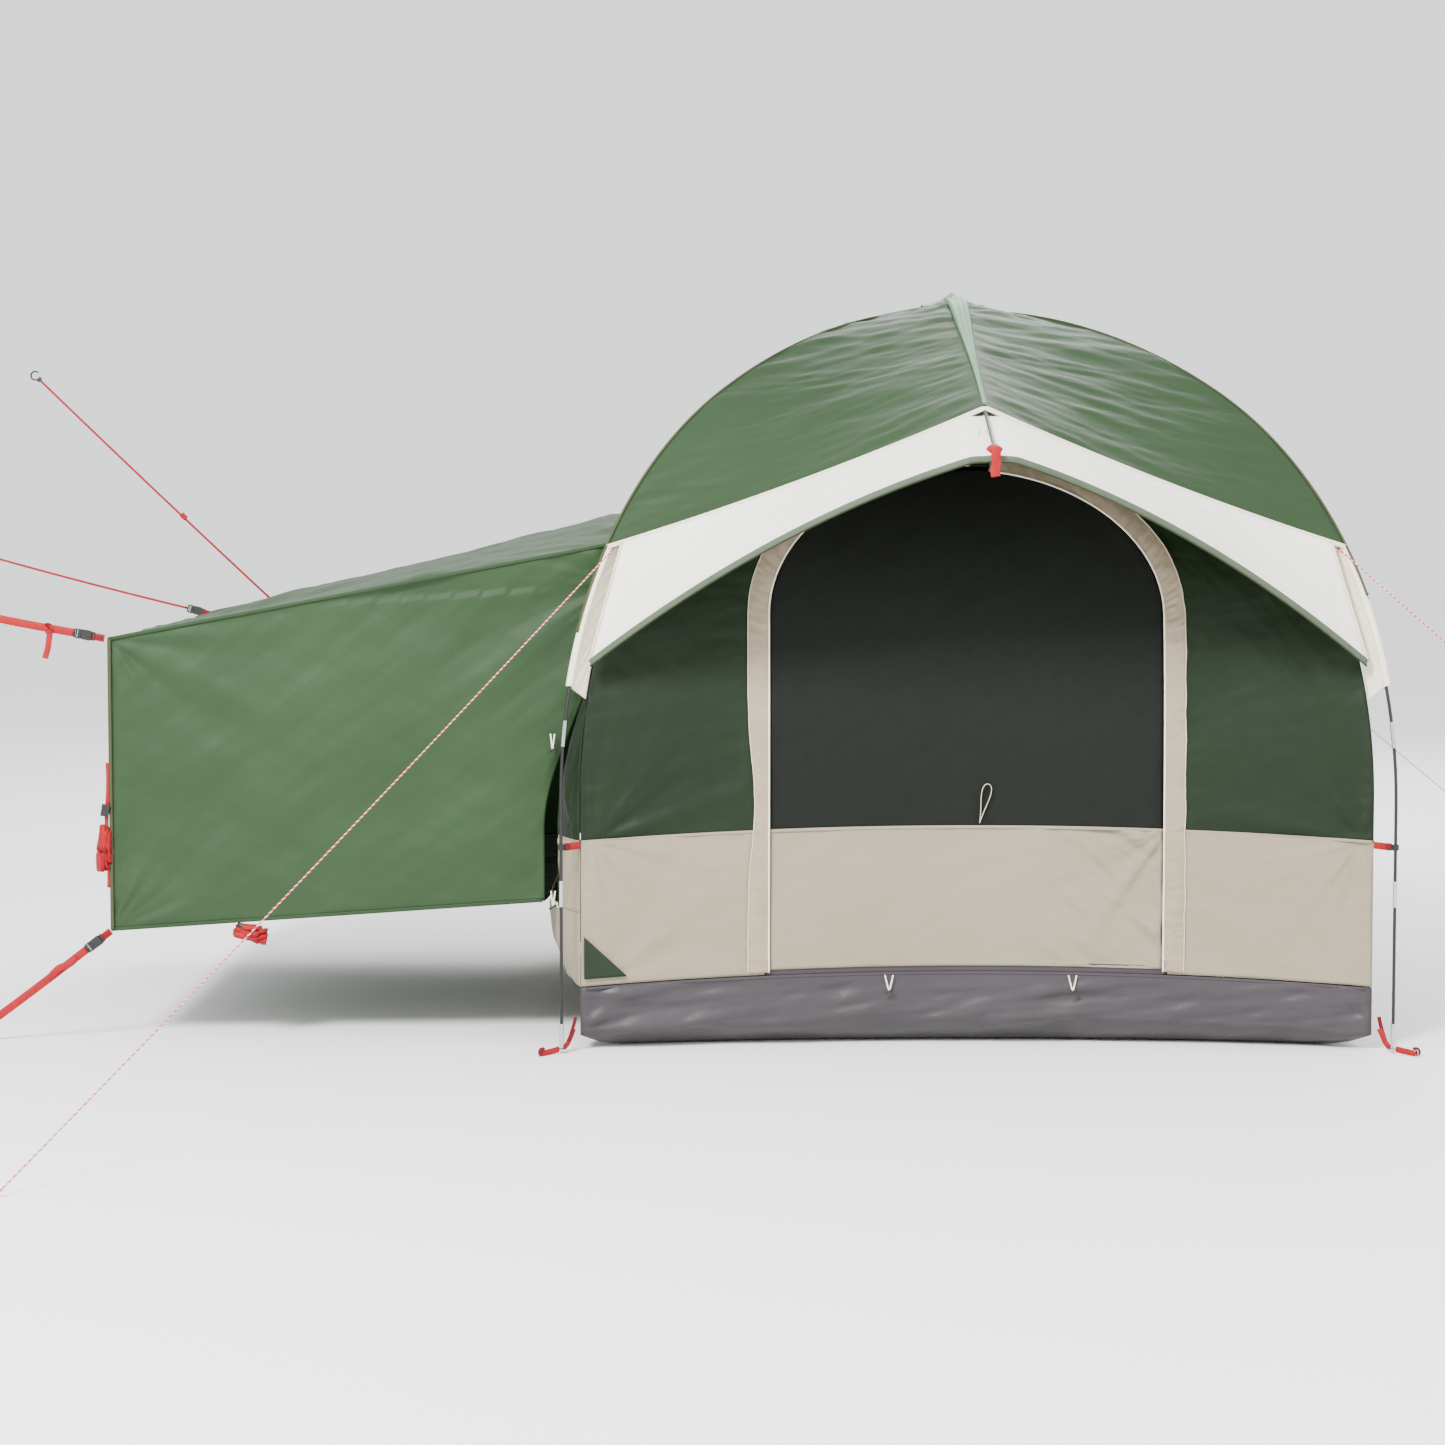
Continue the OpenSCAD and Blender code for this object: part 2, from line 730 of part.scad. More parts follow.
// ---- vehicle sleeve ----
end_gap = 8;
edge_gap = 4;
near_rise = 0.189;
floor_rise = 0.068;
arch_at_dome = 90;

// Top and bottom edges of the side panels at distance x to the left of the middle
function sleeve_top(x) = mouth_top + (mouth_x - x) * near_rise;
function sleeve_low(x) = mouth_bottom + (mouth_x - x) * floor_rise;
// Distance from the middle at which the sleeve meets the left wall at height z
function sleeve_end(z) =
  wall_w(z) + left_bulge * ease(z, 60, 330) * (1 - ease(z, 640, 1150)) + end_gap;

// How far the far panel stands in towards the tent, b from 0 at the mouth to 1 at the tent
function far_at(b) = far_y - 20 * b;

module sleeve_side(near, bulge) {
  sheet([for (b = steps(8))
    [for (a = steps(12))
      let (z0 = mix(sleeve_low(mouth_x), sleeve_top(mouth_x), b))
      let (x1 = sleeve_end(mix(420, 1475, b)))
      let (x = mix(mouth_x, x1, a), z = mix(sleeve_low(x), sleeve_top(x), b))
      [-x, (near ? -near_y : far_at(a)) + bulge * 4 * b * (1 - b) * 4 * a * (1 - a), z]]]);
}

module sleeve_near() {
  color("#5f8058") sleeve_side(true, -12);
}

module sleeve_far() {
  color("#5f8058") sleeve_side(false, 12);
}

// Sheet from the near side panel to the far one, over the top or under the bottom;
// z1 is about the height at which its corners meet the left wall
module sleeve_across(z1, lift, arch, over) {
  sheet([for (b = steps(10))
    [for (a = steps(8))
      let (y = mix(-near_y, far_at(b), a), q = 4 * a * (1 - a))
      let (x = mix(mouth_x, sleeve_end(z1 + arch * q), b))
      [-x, y, (over ? sleeve_top(x) : sleeve_low(x)) + lift + arch * b * q]]]);
}

module sleeve_roof() {
  color("#5f8058") sleeve_across(1490, edge_gap, arch_at_dome, true);
}

module sleeve_floor() {
  color("#5f8058") sleeve_across(410, -edge_gap, -40, false);
}

// ---- straps that hold the mouth to the vehicle ----
strap_w = 22;
strap_h = 3;
near_top_corner = [-2556, -near_y, 1196];
near_low_corner = [-2548, -near_y, 332];
far_top_corner = [-2556, far_y, 1200];
near_top_end = [-2950, -1000, 1272];
near_low_end = [-2920, -1000, 52];
far_top_end = [-3400, 1055, 1422];
roof_strap_start = [-2350, 1055, 1256];
roof_strap_end = [-3160, 1055, 2030];

// Children in a frame at the mouth corner a, with +X along the strap towards b
module along(a, b, from = 0) {
  v = b - a;
  translate(a + unit(v) * from)
    rotate([0, -atan2(v.z, norm([v.x, v.y])), atan2(v.y, v.x)]) children();
}

// Distances along a strap: the socket, and the tongue's body behind it
socket_from = 42;
socket_len = 30;
tongue_len = 26;
body_len = 22;
body_from = socket_from + socket_len + 1;
strap_from = body_from + body_len + 1;

module socket_at(a, b) {
  along(a, b, socket_from)
    difference() {
      translate([0, -6, -15]) cube([socket_len, 12, 30]);
      translate([3, -3.5, -11]) cube([socket_len, 7, 22]);
    }
}

module tongue_at(a, b) {
  color("#17181a")
    along(a, b, body_from) {
      translate([0, -5, -15]) cube([body_len, 10, 30]);
      translate([-tongue_len, -2.5, -3]) cube([tongue_len, 5, 6]);
      for (side = [-1, 1])
        translate([-tongue_len, -2.5, side * 8 - 2]) cube([tongue_len, 5, 4]);
    }
}

module buckle_sockets() {
  color("#17181a") {
    socket_at(near_top_corner, near_top_end);
    socket_at(near_low_corner, near_low_end);
    socket_at(far_top_corner, far_top_end);
  }
}

module buckle_near_top() {
  tongue_at(near_top_corner, near_top_end);
}

module buckle_near_bottom() {
  tongue_at(near_low_corner, near_low_end);
}

module buckle_far_top() {
  tongue_at(far_top_corner, far_top_end);
}

// Webbing between the mouth's corners and the sockets, the tape down the mouth's near
// edge, and the two spare straps that are tied into bundles
module mouth_webbing() {
  color("#c3182c") {
    for (pair = [[near_top_corner, near_top_end], [near_low_corner, near_low_end],
                 [far_top_corner, far_top_end]])
      along(pair[0], pair[1], 4)
        translate([0, -1.5, -strap_w / 2]) cube([socket_from - 5, 3, strap_w]);
    translate([-mouth_x - 12, -near_y - 12, 600]) cube([9, 14, 210]);
    translate([-mouth_x - 30, -near_y - 14, 480]) cube([18, 18, 160]);
    translate([-2190, -near_y - 10, 315]) cube([110, 40, 32]);
  }
}

// A free strap from its buckle to its end, with a level route
function strap_route(a, b, sag) = taut(a + unit(b - a) * strap_from, b, sag, 10);

module strap(a, b, w, h, sag) {
  color("#c3182c") rope(strap_route(a, b, sag), w, h);
}

module strap_near_top() {
  strap(near_top_corner, near_top_end, strap_h, strap_w, 2);
}

module strap_near_bottom() {
  strap(near_low_corner, near_low_end, strap_h, strap_w, 2);
}

module strap_far_top() {
  strap(far_top_corner, far_top_end, strap_h, 8, 4);
}

module roof_strap() {
  color("#c3182c") rope(taut(roof_strap_start, roof_strap_end, 4, 12), strap_h, 8);
}

slider_at = 0.38;

module roof_strap_slider() {
  color("#c3182c")
    along(roof_strap_start, roof_strap_end, slider_at * norm(roof_strap_end - roof_strap_start))
      difference() {
        cube([24, 12, 18], center = true);
        translate([0, 0, -3]) cube([30, 5, 11], center = true);
      }
}

module roof_strap_hook() {
  color("#17181a")
    along(roof_strap_start, roof_strap_end, norm(roof_strap_end - roof_strap_start) + 1) {
      translate([0, -5, -9]) cube([12, 10, 18]);
      translate([26, 0, 0])
        rotate([90, 0, 0])
          rotate([0, 0, 200])
            rotate_extrude(angle = 250) translate([15, 0]) circle(d = 6);
    }
}

// ---- guy ropes ----
guy_d = 4;
guy_sag = 12;
guy_front_top = [1052, -1062, 1468];
guy_front_peg = [2400, -3200, 14];
guy_rear_top = [1122, 1134, 1190];
guy_rear_peg = [2750, 3000, 14];

module guy(a, b) {
  color("#d8505a") rope(taut(a, b, guy_sag, 14), guy_d, guy_d);
}

module guy_front_left() {
  guy([-guy_front_top.x, guy_front_top.y, guy_front_top.z],
      [-guy_front_peg.x, guy_front_peg.y, guy_front_peg.z]);
}

module guy_front_right() {
  guy(guy_front_top, guy_front_peg);
}

module guy_rear_right() {
  guy(guy_rear_top, guy_rear_peg);
}

module guy_pegs() {
  color("#a9acb0")
    for (p = [[-guy_front_peg.x, guy_front_peg.y], [guy_front_peg.x, guy_front_peg.y],
              [guy_rear_peg.x, guy_rear_peg.y]])
      translate([p.x, p.y, 0]) rotate([0, 0, atan2(p.y, p.x)]) translate([18, 0, 0]) peg_head();
}

runner_at = 0.3;

module guy_runner() {
  v = guy_rear_peg - guy_rear_top;
  color("#1b1c1e")
    along(guy_rear_top, guy_rear_peg, runner_at * norm(v))
      translate([0, 0, -4 * guy_sag * runner_at * (1 - runner_at)])
        difference() {
          cube([36, 12, 16], center = true);
          cube([40, 7, 11], center = true);
        }
}

// ---- toggles ----
toggle_drop = 44;
sill_x = [-250, 290];

// Cord loop with a toggle bar at its lower end, hanging from its pivot
module toggle() {
  color("#e2d8c6") translate([0, 0, -toggle_drop / 2]) cube([5, 3, toggle_drop], center = true);
  color("#1b1c1e") translate([0, 0, -toggle_drop]) rotate([0, 60, 0]) cylinder(d = 7, h = 26, center = true);
}

// Pivot of a sill toggle: in front of the tub, just under the door's sill
function sill_pivot(x) = wall_at(x, tub_height - 12, 10);

module sill_toggle_left() {
  translate(sill_pivot(sill_x[0])) toggle();
}

module sill_toggle_right() {
  translate(sill_pivot(sill_x[1])) toggle();
}

side_toggle_x = -1240;

// Side toggles hang in front of the sleeve's near panel, where it meets the tent
module side_toggle(z) {
  translate([side_toggle_x, -near_y - 24, z]) toggle();
}

module side_toggle_upper() {
  side_toggle(915);
}

module side_toggle_lower() {
  side_toggle(450);
}

pole_a_rods();
pole_b_rods();
ridge_pole_rods();
pole_ferrules();
shock_cords();
pole_tips();
pole_clips();
corner_rings();
corner_webbing();
corner_pegs();
tub_floor();
tub_walls();
front_wall_left();
front_wall_right();
door_window();
door_lower();
door_pull();
flap_left();
flap_right();
zip_tapes();
zip_slider_left();
zip_slider_right();
right_wall();
rear_wall();
left_wall_lower();
left_wall_sides();
left_wall_top();
ceiling_mesh();
fly_front();
fly_rear();
fly_left();
fly_right();
ridge_crest();
visor();
ridge_pocket();
front_pole_sleeves();
sleeve_near();
sleeve_roof();
sleeve_far();
sleeve_floor();
mouth_webbing();
buckle_sockets();
buckle_near_top();
buckle_near_bottom();
buckle_far_top();
strap_near_top();
strap_near_bottom();
strap_far_top();
roof_strap();
roof_strap_slider();
roof_strap_hook();
guy_front_left();
guy_front_right();
guy_rear_right();
guy_runner();
guy_pegs();
sill_toggle_left();
sill_toggle_right();
side_toggle_upper();
side_toggle_lower();
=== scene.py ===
"""Looks of the dome tent with a vehicle sleeve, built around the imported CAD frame.

Everything is in metres in the CAD model's frame: +Z up, -Y out of the door, the sleeve to -X.
"""
import math

import bmesh
import bpy
import numpy as np
from mathutils import Matrix, Vector, noise


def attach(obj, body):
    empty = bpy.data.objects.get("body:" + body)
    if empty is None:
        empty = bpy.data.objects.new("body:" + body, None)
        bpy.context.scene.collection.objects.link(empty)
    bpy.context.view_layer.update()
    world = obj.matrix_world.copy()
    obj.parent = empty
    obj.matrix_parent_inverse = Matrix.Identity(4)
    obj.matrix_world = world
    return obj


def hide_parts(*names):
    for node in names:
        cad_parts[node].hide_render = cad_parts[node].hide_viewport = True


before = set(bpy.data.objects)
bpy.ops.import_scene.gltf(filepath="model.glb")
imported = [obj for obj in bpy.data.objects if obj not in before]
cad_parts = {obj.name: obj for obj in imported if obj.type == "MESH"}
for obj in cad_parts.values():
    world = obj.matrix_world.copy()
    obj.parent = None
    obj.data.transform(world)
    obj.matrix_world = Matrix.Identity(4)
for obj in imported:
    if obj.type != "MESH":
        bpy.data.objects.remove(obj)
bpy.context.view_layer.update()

# ---------------------------------------------------------------- camera
EYE = (-0.74, -10.7, 1.58)
FOCAL_PX = 3296.0
IMAGE_PX = 1445.0
SENSOR_MM = 36.0
HORIZON_DOWN = math.atan((IMAGE_PX / 2 - 508.0) / FOCAL_PX)


def make_camera():
    data = bpy.data.cameras.new("camera")
    data.sensor_width = SENSOR_MM
    data.lens = FOCAL_PX / IMAGE_PX * SENSOR_MM
    camera = bpy.data.objects.new("camera", data)
    camera.location = EYE
    camera.rotation_euler = (math.pi / 2 - HORIZON_DOWN, 0, 0)
    bpy.context.collection.objects.link(camera)
    bpy.context.scene.camera = camera


make_camera()


# ---------------------------------------------------------------- numbers and noise
def mix(a, b, t):
    return a + (b - a) * t


def ease(x, low, high):
    t = np.clip((np.asarray(x, float) - low) / (high - low), 0, 1)
    return t * t * (3 - 2 * t)


def unit(v):
    v = np.asarray(v, float)
    return v / np.linalg.norm(v)


def ripple(a, b, scale_a, scale_b, seed, octaves=3):
    """Smooth noise over two coordinate arrays, about -1 to 1."""
    flat = np.stack(np.broadcast_arrays(a / scale_a, b / scale_b), -1).reshape(-1, 2)
    out = [noise.fractal((x, y, seed * 7.3), 1.0, 2.0, octaves, noise_basis="PERLIN_ORIGINAL")
           for x, y in flat]
    return np.array(out).reshape(np.broadcast(a, b).shape)


# ---------------------------------------------------------------- mesh helpers
def link(name, mesh, mats, body="root", smooth=True):
    obj = bpy.data.objects.new(name, mesh)
    bpy.context.collection.objects.link(obj)
    for mat in mats if isinstance(mats, (list, tuple)) else [mats]:
        mesh.materials.append(mat)
    if smooth:
        mesh.shade_smooth()
    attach(obj, body)
    return obj


def mesh_from(name, verts, faces, indices=None, flat=None):
    """Mesh of the given faces; flat holds each vertex's place on the flat cloth, in metres."""
    mesh = bpy.data.meshes.new(name)
    mesh.from_pydata(np.asarray(verts, float).tolist(), [], faces)
    if indices is not None:
        mesh.polygons.foreach_set("material_index", indices)
    if flat is not None:
        corners = np.empty(len(mesh.loops), dtype=np.int32)
        mesh.loops.foreach_get("vertex_index", corners)
        layer = mesh.uv_layers.new(name="flat")
        layer.data.foreach_set("uv", np.asarray(flat, np.float32)[corners].ravel())
    mesh.update()
    return mesh


def flat_grid(p):
    """Distances along both ways of a grid, in metres."""
    across = np.linalg.norm(np.diff(p, axis=1), axis=2)
    along = np.linalg.norm(np.diff(p, axis=0), axis=2)
    u = np.concatenate([np.zeros((p.shape[0], 1)), np.cumsum(across, 1)], 1)
    v = np.concatenate([np.zeros((1, p.shape[1])), np.cumsum(along, 0)], 0)
    u = u - u[:, -1:] / 2
    return np.stack([u, v], -1).reshape(-1, 2)


def grid_normals(p):
    n = np.cross(np.gradient(p, axis=0), np.gradient(p, axis=1))
    return n / np.maximum(np.linalg.norm(n, axis=2, keepdims=True), 1e-12)


def sheet_mesh(name, p, thick, mats, body="root"):
    """Closed cloth on the grid p, half its thickness on each side."""
    rows, cols = p.shape[:2]
    n = grid_normals(p)
    top = (p + n * thick / 2).reshape(-1, 3)
    low = (p - n * thick / 2).reshape(-1, 3)
    back = rows * cols
    faces = []
    for i in range(rows - 1):
        for j in range(cols - 1):
            a, b, c, d = i * cols + j, i * cols + j + 1, (i + 1) * cols + j + 1, (i + 1) * cols + j
            faces += [(a, d, c, b), (back + a, back + b, back + c, back + d)]
    ring = list(range(cols - 1)) + [i * cols + cols - 1 for i in range(rows - 1)]
    ring += [(rows - 1) * cols + j for j in range(cols - 1, 0, -1)]
    ring += [i * cols for i in range(rows - 1, 0, -1)]
    for a, b in zip(ring, ring[1:] + ring[:1]):
        faces.append((a, b, back + b, back + a))
    flat = np.tile(flat_grid(p), (2, 1))
    return link(name, mesh_from(name, np.vstack([top, low]), faces, None, flat), mats, body)


def frames_along(path, level):
    """Side and up at each point of a path, the side kept square to the level direction."""
    t = np.gradient(path, axis=0)
    t /= np.linalg.norm(t, axis=1, keepdims=True)
    side = np.cross(t, np.asarray(level, float))
    side /= np.maximum(np.linalg.norm(side, axis=1, keepdims=True), 1e-9)
    return side, np.cross(side, t)


def sweep(name, path, outline, mats, body="root", level=(0, 0, 1), index=None, scale=None,
          node=None):
    """Solid made by carrying a closed outline of (side, up) points along a path.

    index(k, m) gives the material of each face, and scale the outline's size at each point.
    node is the CAD node that it stands for."""
    path = np.asarray(path, float)
    side, up = frames_along(path, level)
    outline = np.asarray(outline, float)
    count = len(outline)
    around = np.concatenate([[0], np.cumsum(np.linalg.norm(np.diff(outline, axis=0), axis=1))])
    run = np.concatenate([[0], np.cumsum(np.linalg.norm(np.diff(path, axis=0), axis=1))])
    verts, flat = [], []
    for k, p in enumerate(path):
        size = scale[k] if scale is not None else 1.0
        for m, (x, y) in enumerate(outline):
            verts.append(p + side[k] * x * size + up[k] * y * size)
            flat.append((run[k], around[m]))
    faces, mat = [], []
    for k in range(len(path) - 1):
        for m in range(count):
            m2 = (m + 1) % count
            faces.append((k * count + m, (k + 1) * count + m, (k + 1) * count + m2, k * count + m2))
            mat.append(index(k, m) if index else 0)
    last = (len(path) - 1) * count
    faces += [tuple(range(count)), tuple(range(last + count - 1, last - 1, -1))]
    mat += [0, 0]
    piece = link(name, mesh_from(name, verts, faces, mat, flat), mats, body)
    if node:
        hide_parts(node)
    return piece


def circle(radius, sides):
    return [(radius * math.cos(a), radius * math.sin(a))
            for a in (2 * math.pi * (k + 0.5) / sides for k in range(sides))]


def strap_outline(width, thick):
    """Flat webbing with rounded edges; width lies along the side direction."""
    w, h = width / 2, thick / 2
    return [(-w, 0), (-w + h, -h), (0, -h), (w - h, -h), (w, 0), (w - h, h), (0, h), (-w + h, h)]


def densify(points, step=0.004):
    """Points at about equal steps on the smooth Catmull-Rom curve through the given ones."""
    pts = [np.asarray(p, float) for p in points]
    ext = [2 * pts[0] - pts[1]] + pts + [2 * pts[-1] - pts[-2]]
    out = []
    for k in range(1, len(ext) - 2):
        a, b, c, d = ext[k - 1:k + 3]
        count = max(1, int(np.linalg.norm(c - b) / step))
        for m in range(count):
            t = m / count
            out.append(0.5 * (2 * b + (c - a) * t + (2 * a - 5 * b + 4 * c - d) * t * t
                              + (3 * b - a - 3 * c + d) * t ** 3))
    out.append(pts[-1])
    return np.array(out)


def taut(a, b, sag, count):
    """Line between two points that hangs down by sag in its middle."""
    a, b = np.asarray(a, float), np.asarray(b, float)
    t = np.linspace(0, 1, count)[:, None]
    return a + (b - a) * t - np.array([0, 0, 4 * sag]) * t * (1 - t)


# ---------------------------------------------------------------- materials
def srgb(r, g, b):
    """Linear colour from 0 to 255 sRGB values."""
    out = []
    for c in (r, g, b):
        c /= 255.0
        out.append(c / 12.92 if c <= 0.04045 else ((c + 0.055) / 1.055) ** 2.4)
    return (*out, 1.0)


def new_material(name, color, rough, metallic=0.0):
    mat = bpy.data.materials.new(name)
    mat.use_nodes = True
    shader = mat.node_tree.nodes["Principled BSDF"]
    shader.inputs["Base Color"].default_value = color
    shader.inputs["Roughness"].default_value = rough
    shader.inputs["Metallic"].default_value = metallic
    return mat, mat.node_tree, shader


def add_node(tree, kind, **values):
    node = tree.nodes.new(kind)
    for key, value in values.items():
        if hasattr(node, key):
            setattr(node, key, value)
        else:
            node.inputs[key.replace("_", " ")].default_value = value
    return node


WAVE_PER_METRE = 0.314      # a wave texture of this scale has a band every metre


def vary_color(tree, vector, color, spread, scale, stretch=(1, 1, 1)):
    """Base colour that wanders by spread around color, on stretched noise."""
    place = add_node(tree, "ShaderNodeMapping")
    place.inputs["Scale"].default_value = stretch
    tree.links.new(vector, place.inputs["Vector"])
    cloud = add_node(tree, "ShaderNodeTexNoise", Scale=scale, Detail=4.0, Roughness=0.55)
    tree.links.new(place.outputs["Vector"], cloud.inputs["Vector"])
    ramp = add_node(tree, "ShaderNodeValToRGB")
    dark, light = ramp.color_ramp.elements
    dark.position, light.position = 0.3, 0.72
    dark.color = [c * (1 - spread) for c in color[:3]] + [1]
    light.color = [min(1, c * (1 + spread)) for c in color[:3]] + [1]
    tree.links.new(cloud.outputs["Fac"], ramp.inputs["Fac"])
    return ramp.outputs["Color"]


def weave_height(tree, vector, pitch):
    """Height of a plain weave with threads pitch apart, over coordinates in metres."""
    waves = []
    for direction in ("X", "Y"):
        wave = add_node(tree, "ShaderNodeTexWave", wave_type="BANDS", bands_direction=direction,
                        Scale=WAVE_PER_METRE / pitch, Distortion=0.4, Detail=1.0)
        tree.links.new(vector, wave.inputs["Vector"])
        waves.append(wave.outputs["Fac"])
    both = add_node(tree, "ShaderNodeMath", operation="MULTIPLY")
    tree.links.new(waves[0], both.inputs[0])
    tree.links.new(waves[1], both.inputs[1])
    return both.outputs["Value"]


def cloth_material(name, color, rough=0.55, spread=0.10, scale=2.2, pitch=0.0016, weave=0.06,
                   crease=0.25, sheen=0.04):
    """Coated tent cloth: woven, softly mottled, finely creased."""
    mat, tree, shader = new_material(name, color, rough)
    coords = add_node(tree, "ShaderNodeTexCoord")
    tree.links.new(vary_color(tree, coords.outputs["Object"], color, spread, scale),
                   shader.inputs["Base Color"])
    creases = add_node(tree, "ShaderNodeTexNoise", Scale=26.0, Detail=6.0, Roughness=0.62,
                       Distortion=0.6)
    tree.links.new(coords.outputs["Object"], creases.inputs["Vector"])
    bump = add_node(tree, "ShaderNodeBump", Strength=crease, Distance=0.004)
    tree.links.new(creases.outputs["Fac"], bump.inputs["Height"])
    fine = add_node(tree, "ShaderNodeBump", Strength=weave, Distance=0.0006)
    tree.links.new(weave_height(tree, coords.outputs["UV"], pitch), fine.inputs["Height"])
    tree.links.new(bump.outputs["Normal"], fine.inputs["Normal"])
    tree.links.new(fine.outputs["Normal"], shader.inputs["Normal"])
    gloss = add_node(tree, "ShaderNodeMapRange", To_Min=rough - 0.06, To_Max=rough + 0.08)
    tree.links.new(creases.outputs["Fac"], gloss.inputs["Value"])
    tree.links.new(gloss.outputs["Result"], shader.inputs["Roughness"])
    shader.inputs["Sheen Weight"].default_value = sheen
    shader.inputs["Sheen Roughness"].default_value = 0.4
    shader.inputs["Specular IOR Level"].default_value = 0.22
    return mat


def webbing_material(name, color, pitch=0.003):
    """Narrow woven tape with ribs along it."""
    mat, tree, shader = new_material(name, color, 0.62)
    coords = add_node(tree, "ShaderNodeTexCoord")
    tree.links.new(vary_color(tree, coords.outputs["Object"], color, 0.16, 60.0),
                   shader.inputs["Base Color"])
    bump = add_node(tree, "ShaderNodeBump", Strength=0.5, Distance=0.0008)
    ribs = add_node(tree, "ShaderNodeTexWave", wave_type="BANDS", bands_direction="DIAGONAL",
                    Scale=WAVE_PER_METRE / pitch, Distortion=0.8, Detail=2.0)
    tree.links.new(coords.outputs["Object"], ribs.inputs["Vector"])
    tree.links.new(ribs.outputs["Fac"], bump.inputs["Height"])
    tree.links.new(bump.outputs["Normal"], shader.inputs["Normal"])
    shader.inputs["Sheen Weight"].default_value = 0.05
    shader.inputs["Specular IOR Level"].default_value = 0.25
    return mat


def hard_material(name, color, rough, metallic=0.0, spread=0.12, scale=40.0, bump=0.1,
                  stretch=(1, 1, 1)):
    """Moulded plastic or metal with light wear and fine scratches."""
    mat, tree, shader = new_material(name, color, rough, metallic)
    coords = add_node(tree, "ShaderNodeTexCoord")
    tree.links.new(vary_color(tree, coords.outputs["Object"], color, spread, scale, stretch),
                   shader.inputs["Base Color"])
    grain = add_node(tree, "ShaderNodeTexNoise", Scale=scale * 12, Detail=3.0)
    tree.links.new(coords.outputs["Object"], grain.inputs["Vector"])
    relief = add_node(tree, "ShaderNodeBump", Strength=bump, Distance=0.0004)
    tree.links.new(grain.outputs["Fac"], relief.inputs["Height"])
    tree.links.new(relief.outputs["Normal"], shader.inputs["Normal"])
    worn = add_node(tree, "ShaderNodeMapRange", To_Min=max(0.05, rough - 0.08), To_Max=rough + 0.1)
    tree.links.new(grain.outputs["Fac"], worn.inputs["Value"])
    tree.links.new(worn.outputs["Result"], shader.inputs["Roughness"])
    shader.inputs["Coat Weight"].default_value = 0.0
    return mat


GREEN = cloth_material("wall_green", srgb(16, 31, 12), 0.6, 0.09, crease=0.22)
FLY = cloth_material("fly_green", srgb(37, 58, 32), 0.6, 0.08, crease=0.22)
SLEEVE = cloth_material("sleeve_green", srgb(40, 62, 35), 0.58, 0.08, crease=0.25)
CREST = cloth_material("crest_green", srgb(76, 116, 82), 0.55, 0.08, crease=0.2)
OLIVE = cloth_material("binding_olive", srgb(64, 68, 42), 0.6, 0.15, pitch=0.002, weave=0.3)
BEIGE = cloth_material("wall_beige", srgb(143, 132, 113), 0.55, 0.05, crease=0.22)
CREAM = cloth_material("tape_cream", srgb(240, 230, 208), 0.6, 0.07, 8.0, crease=0.3, weave=0.15)
CREAM_DARK = cloth_material("tape_cream_shade", srgb(205, 190, 164), 0.6, 0.08, 8.0, weave=0.2)
BAND = cloth_material("band_cream", srgb(152, 139, 118), 0.6, 0.10, 9.0, crease=0.35, weave=0.15)
WHITE = cloth_material("visor_white", srgb(242, 238, 230), 0.5, 0.03, crease=0.2)
GREY = cloth_material("tub_grey", srgb(62, 58, 61), 0.4, 0.08, 3.0, crease=0.35)
WINDOW = cloth_material("window_mesh", srgb(13, 17, 12), 0.75, 0.06, 1.6, pitch=0.0012, weave=0.35,
                        crease=0.1, sheen=0.0)
CEILING = cloth_material("ceiling_mesh", srgb(206, 202, 190), 0.6, 0.05, pitch=0.0012, weave=0.3)
PATCH = cloth_material("corner_patch", srgb(26, 40, 25), 0.6, 0.1, 20.0, weave=0.3)
GREYGREEN = cloth_material("binding_greygreen", srgb(84, 96, 78), 0.6, 0.1, 10.0, weave=0.3)
RED = webbing_material("webbing_red", srgb(150, 4, 16))
# Darker copy of the red webbing: painted shade for webbing in folds, wraps, stitch lines and
# set-back tapes
RED_PAINTED_SHADE = webbing_material("webbing_red_painted_shade", srgb(104, 3, 11))
ROPE_RED = webbing_material("rope_red", srgb(206, 40, 52), 0.0015)
ROPE_WHITE = webbing_material("rope_white", srgb(236, 226, 222), 0.0015)
ROD = hard_material("fibreglass_black", srgb(12, 12, 13), 0.45, spread=0.2, scale=25,
                    stretch=(1, 1, 0.1))
STEEL = hard_material("ferrule_steel", srgb(190, 193, 196), 0.28, 1.0, 0.06, 30)
WIRE = hard_material("wire_steel", srgb(168, 170, 174), 0.32, 1.0, 0.08, 60)
BLACK = hard_material("black_plastic", srgb(12, 12, 13), 0.45, spread=0.2, scale=60, bump=0.25)
ZIP_METAL = hard_material("zip_metal", srgb(150, 148, 142), 0.35, 0.8, 0.1, 80)
ELASTIC = webbing_material("elastic_white", srgb(230, 230, 226), 0.001)

NODE_MATERIALS = {
    ROD: ["pole_a_rods", "pole_b_rods", "ridge_pole_rods"],
    STEEL: ["pole_ferrules", "pole_tips"],
    WIRE: ["corner_rings", "corner_pegs", "guy_pegs"],
    ELASTIC: ["shock_cords"],
    BLACK: ["pole_clips", "roof_strap_hook", "guy_runner", "buckle_sockets", "buckle_near_top",
            "buckle_near_bottom", "buckle_far_top"],
    RED: ["roof_strap_slider", "ridge_pocket", "corner_webbing", "mouth_webbing"],
    ZIP_METAL: ["zip_slider_left", "zip_slider_right"],
    CREAM: ["zip_tapes"],
}
for material, names in NODE_MATERIALS.items():
    for node_name in names:
        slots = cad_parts[node_name].data.materials
        slots.clear()
        slots.append(material)
        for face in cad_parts[node_name].data.polygons:
            face.material_index = 0


# ---------------------------------------------------------------- cords
ROPE_RADIUS, ROPE_SAG = 0.002, 0.012
STRAP_THICK = 0.0018


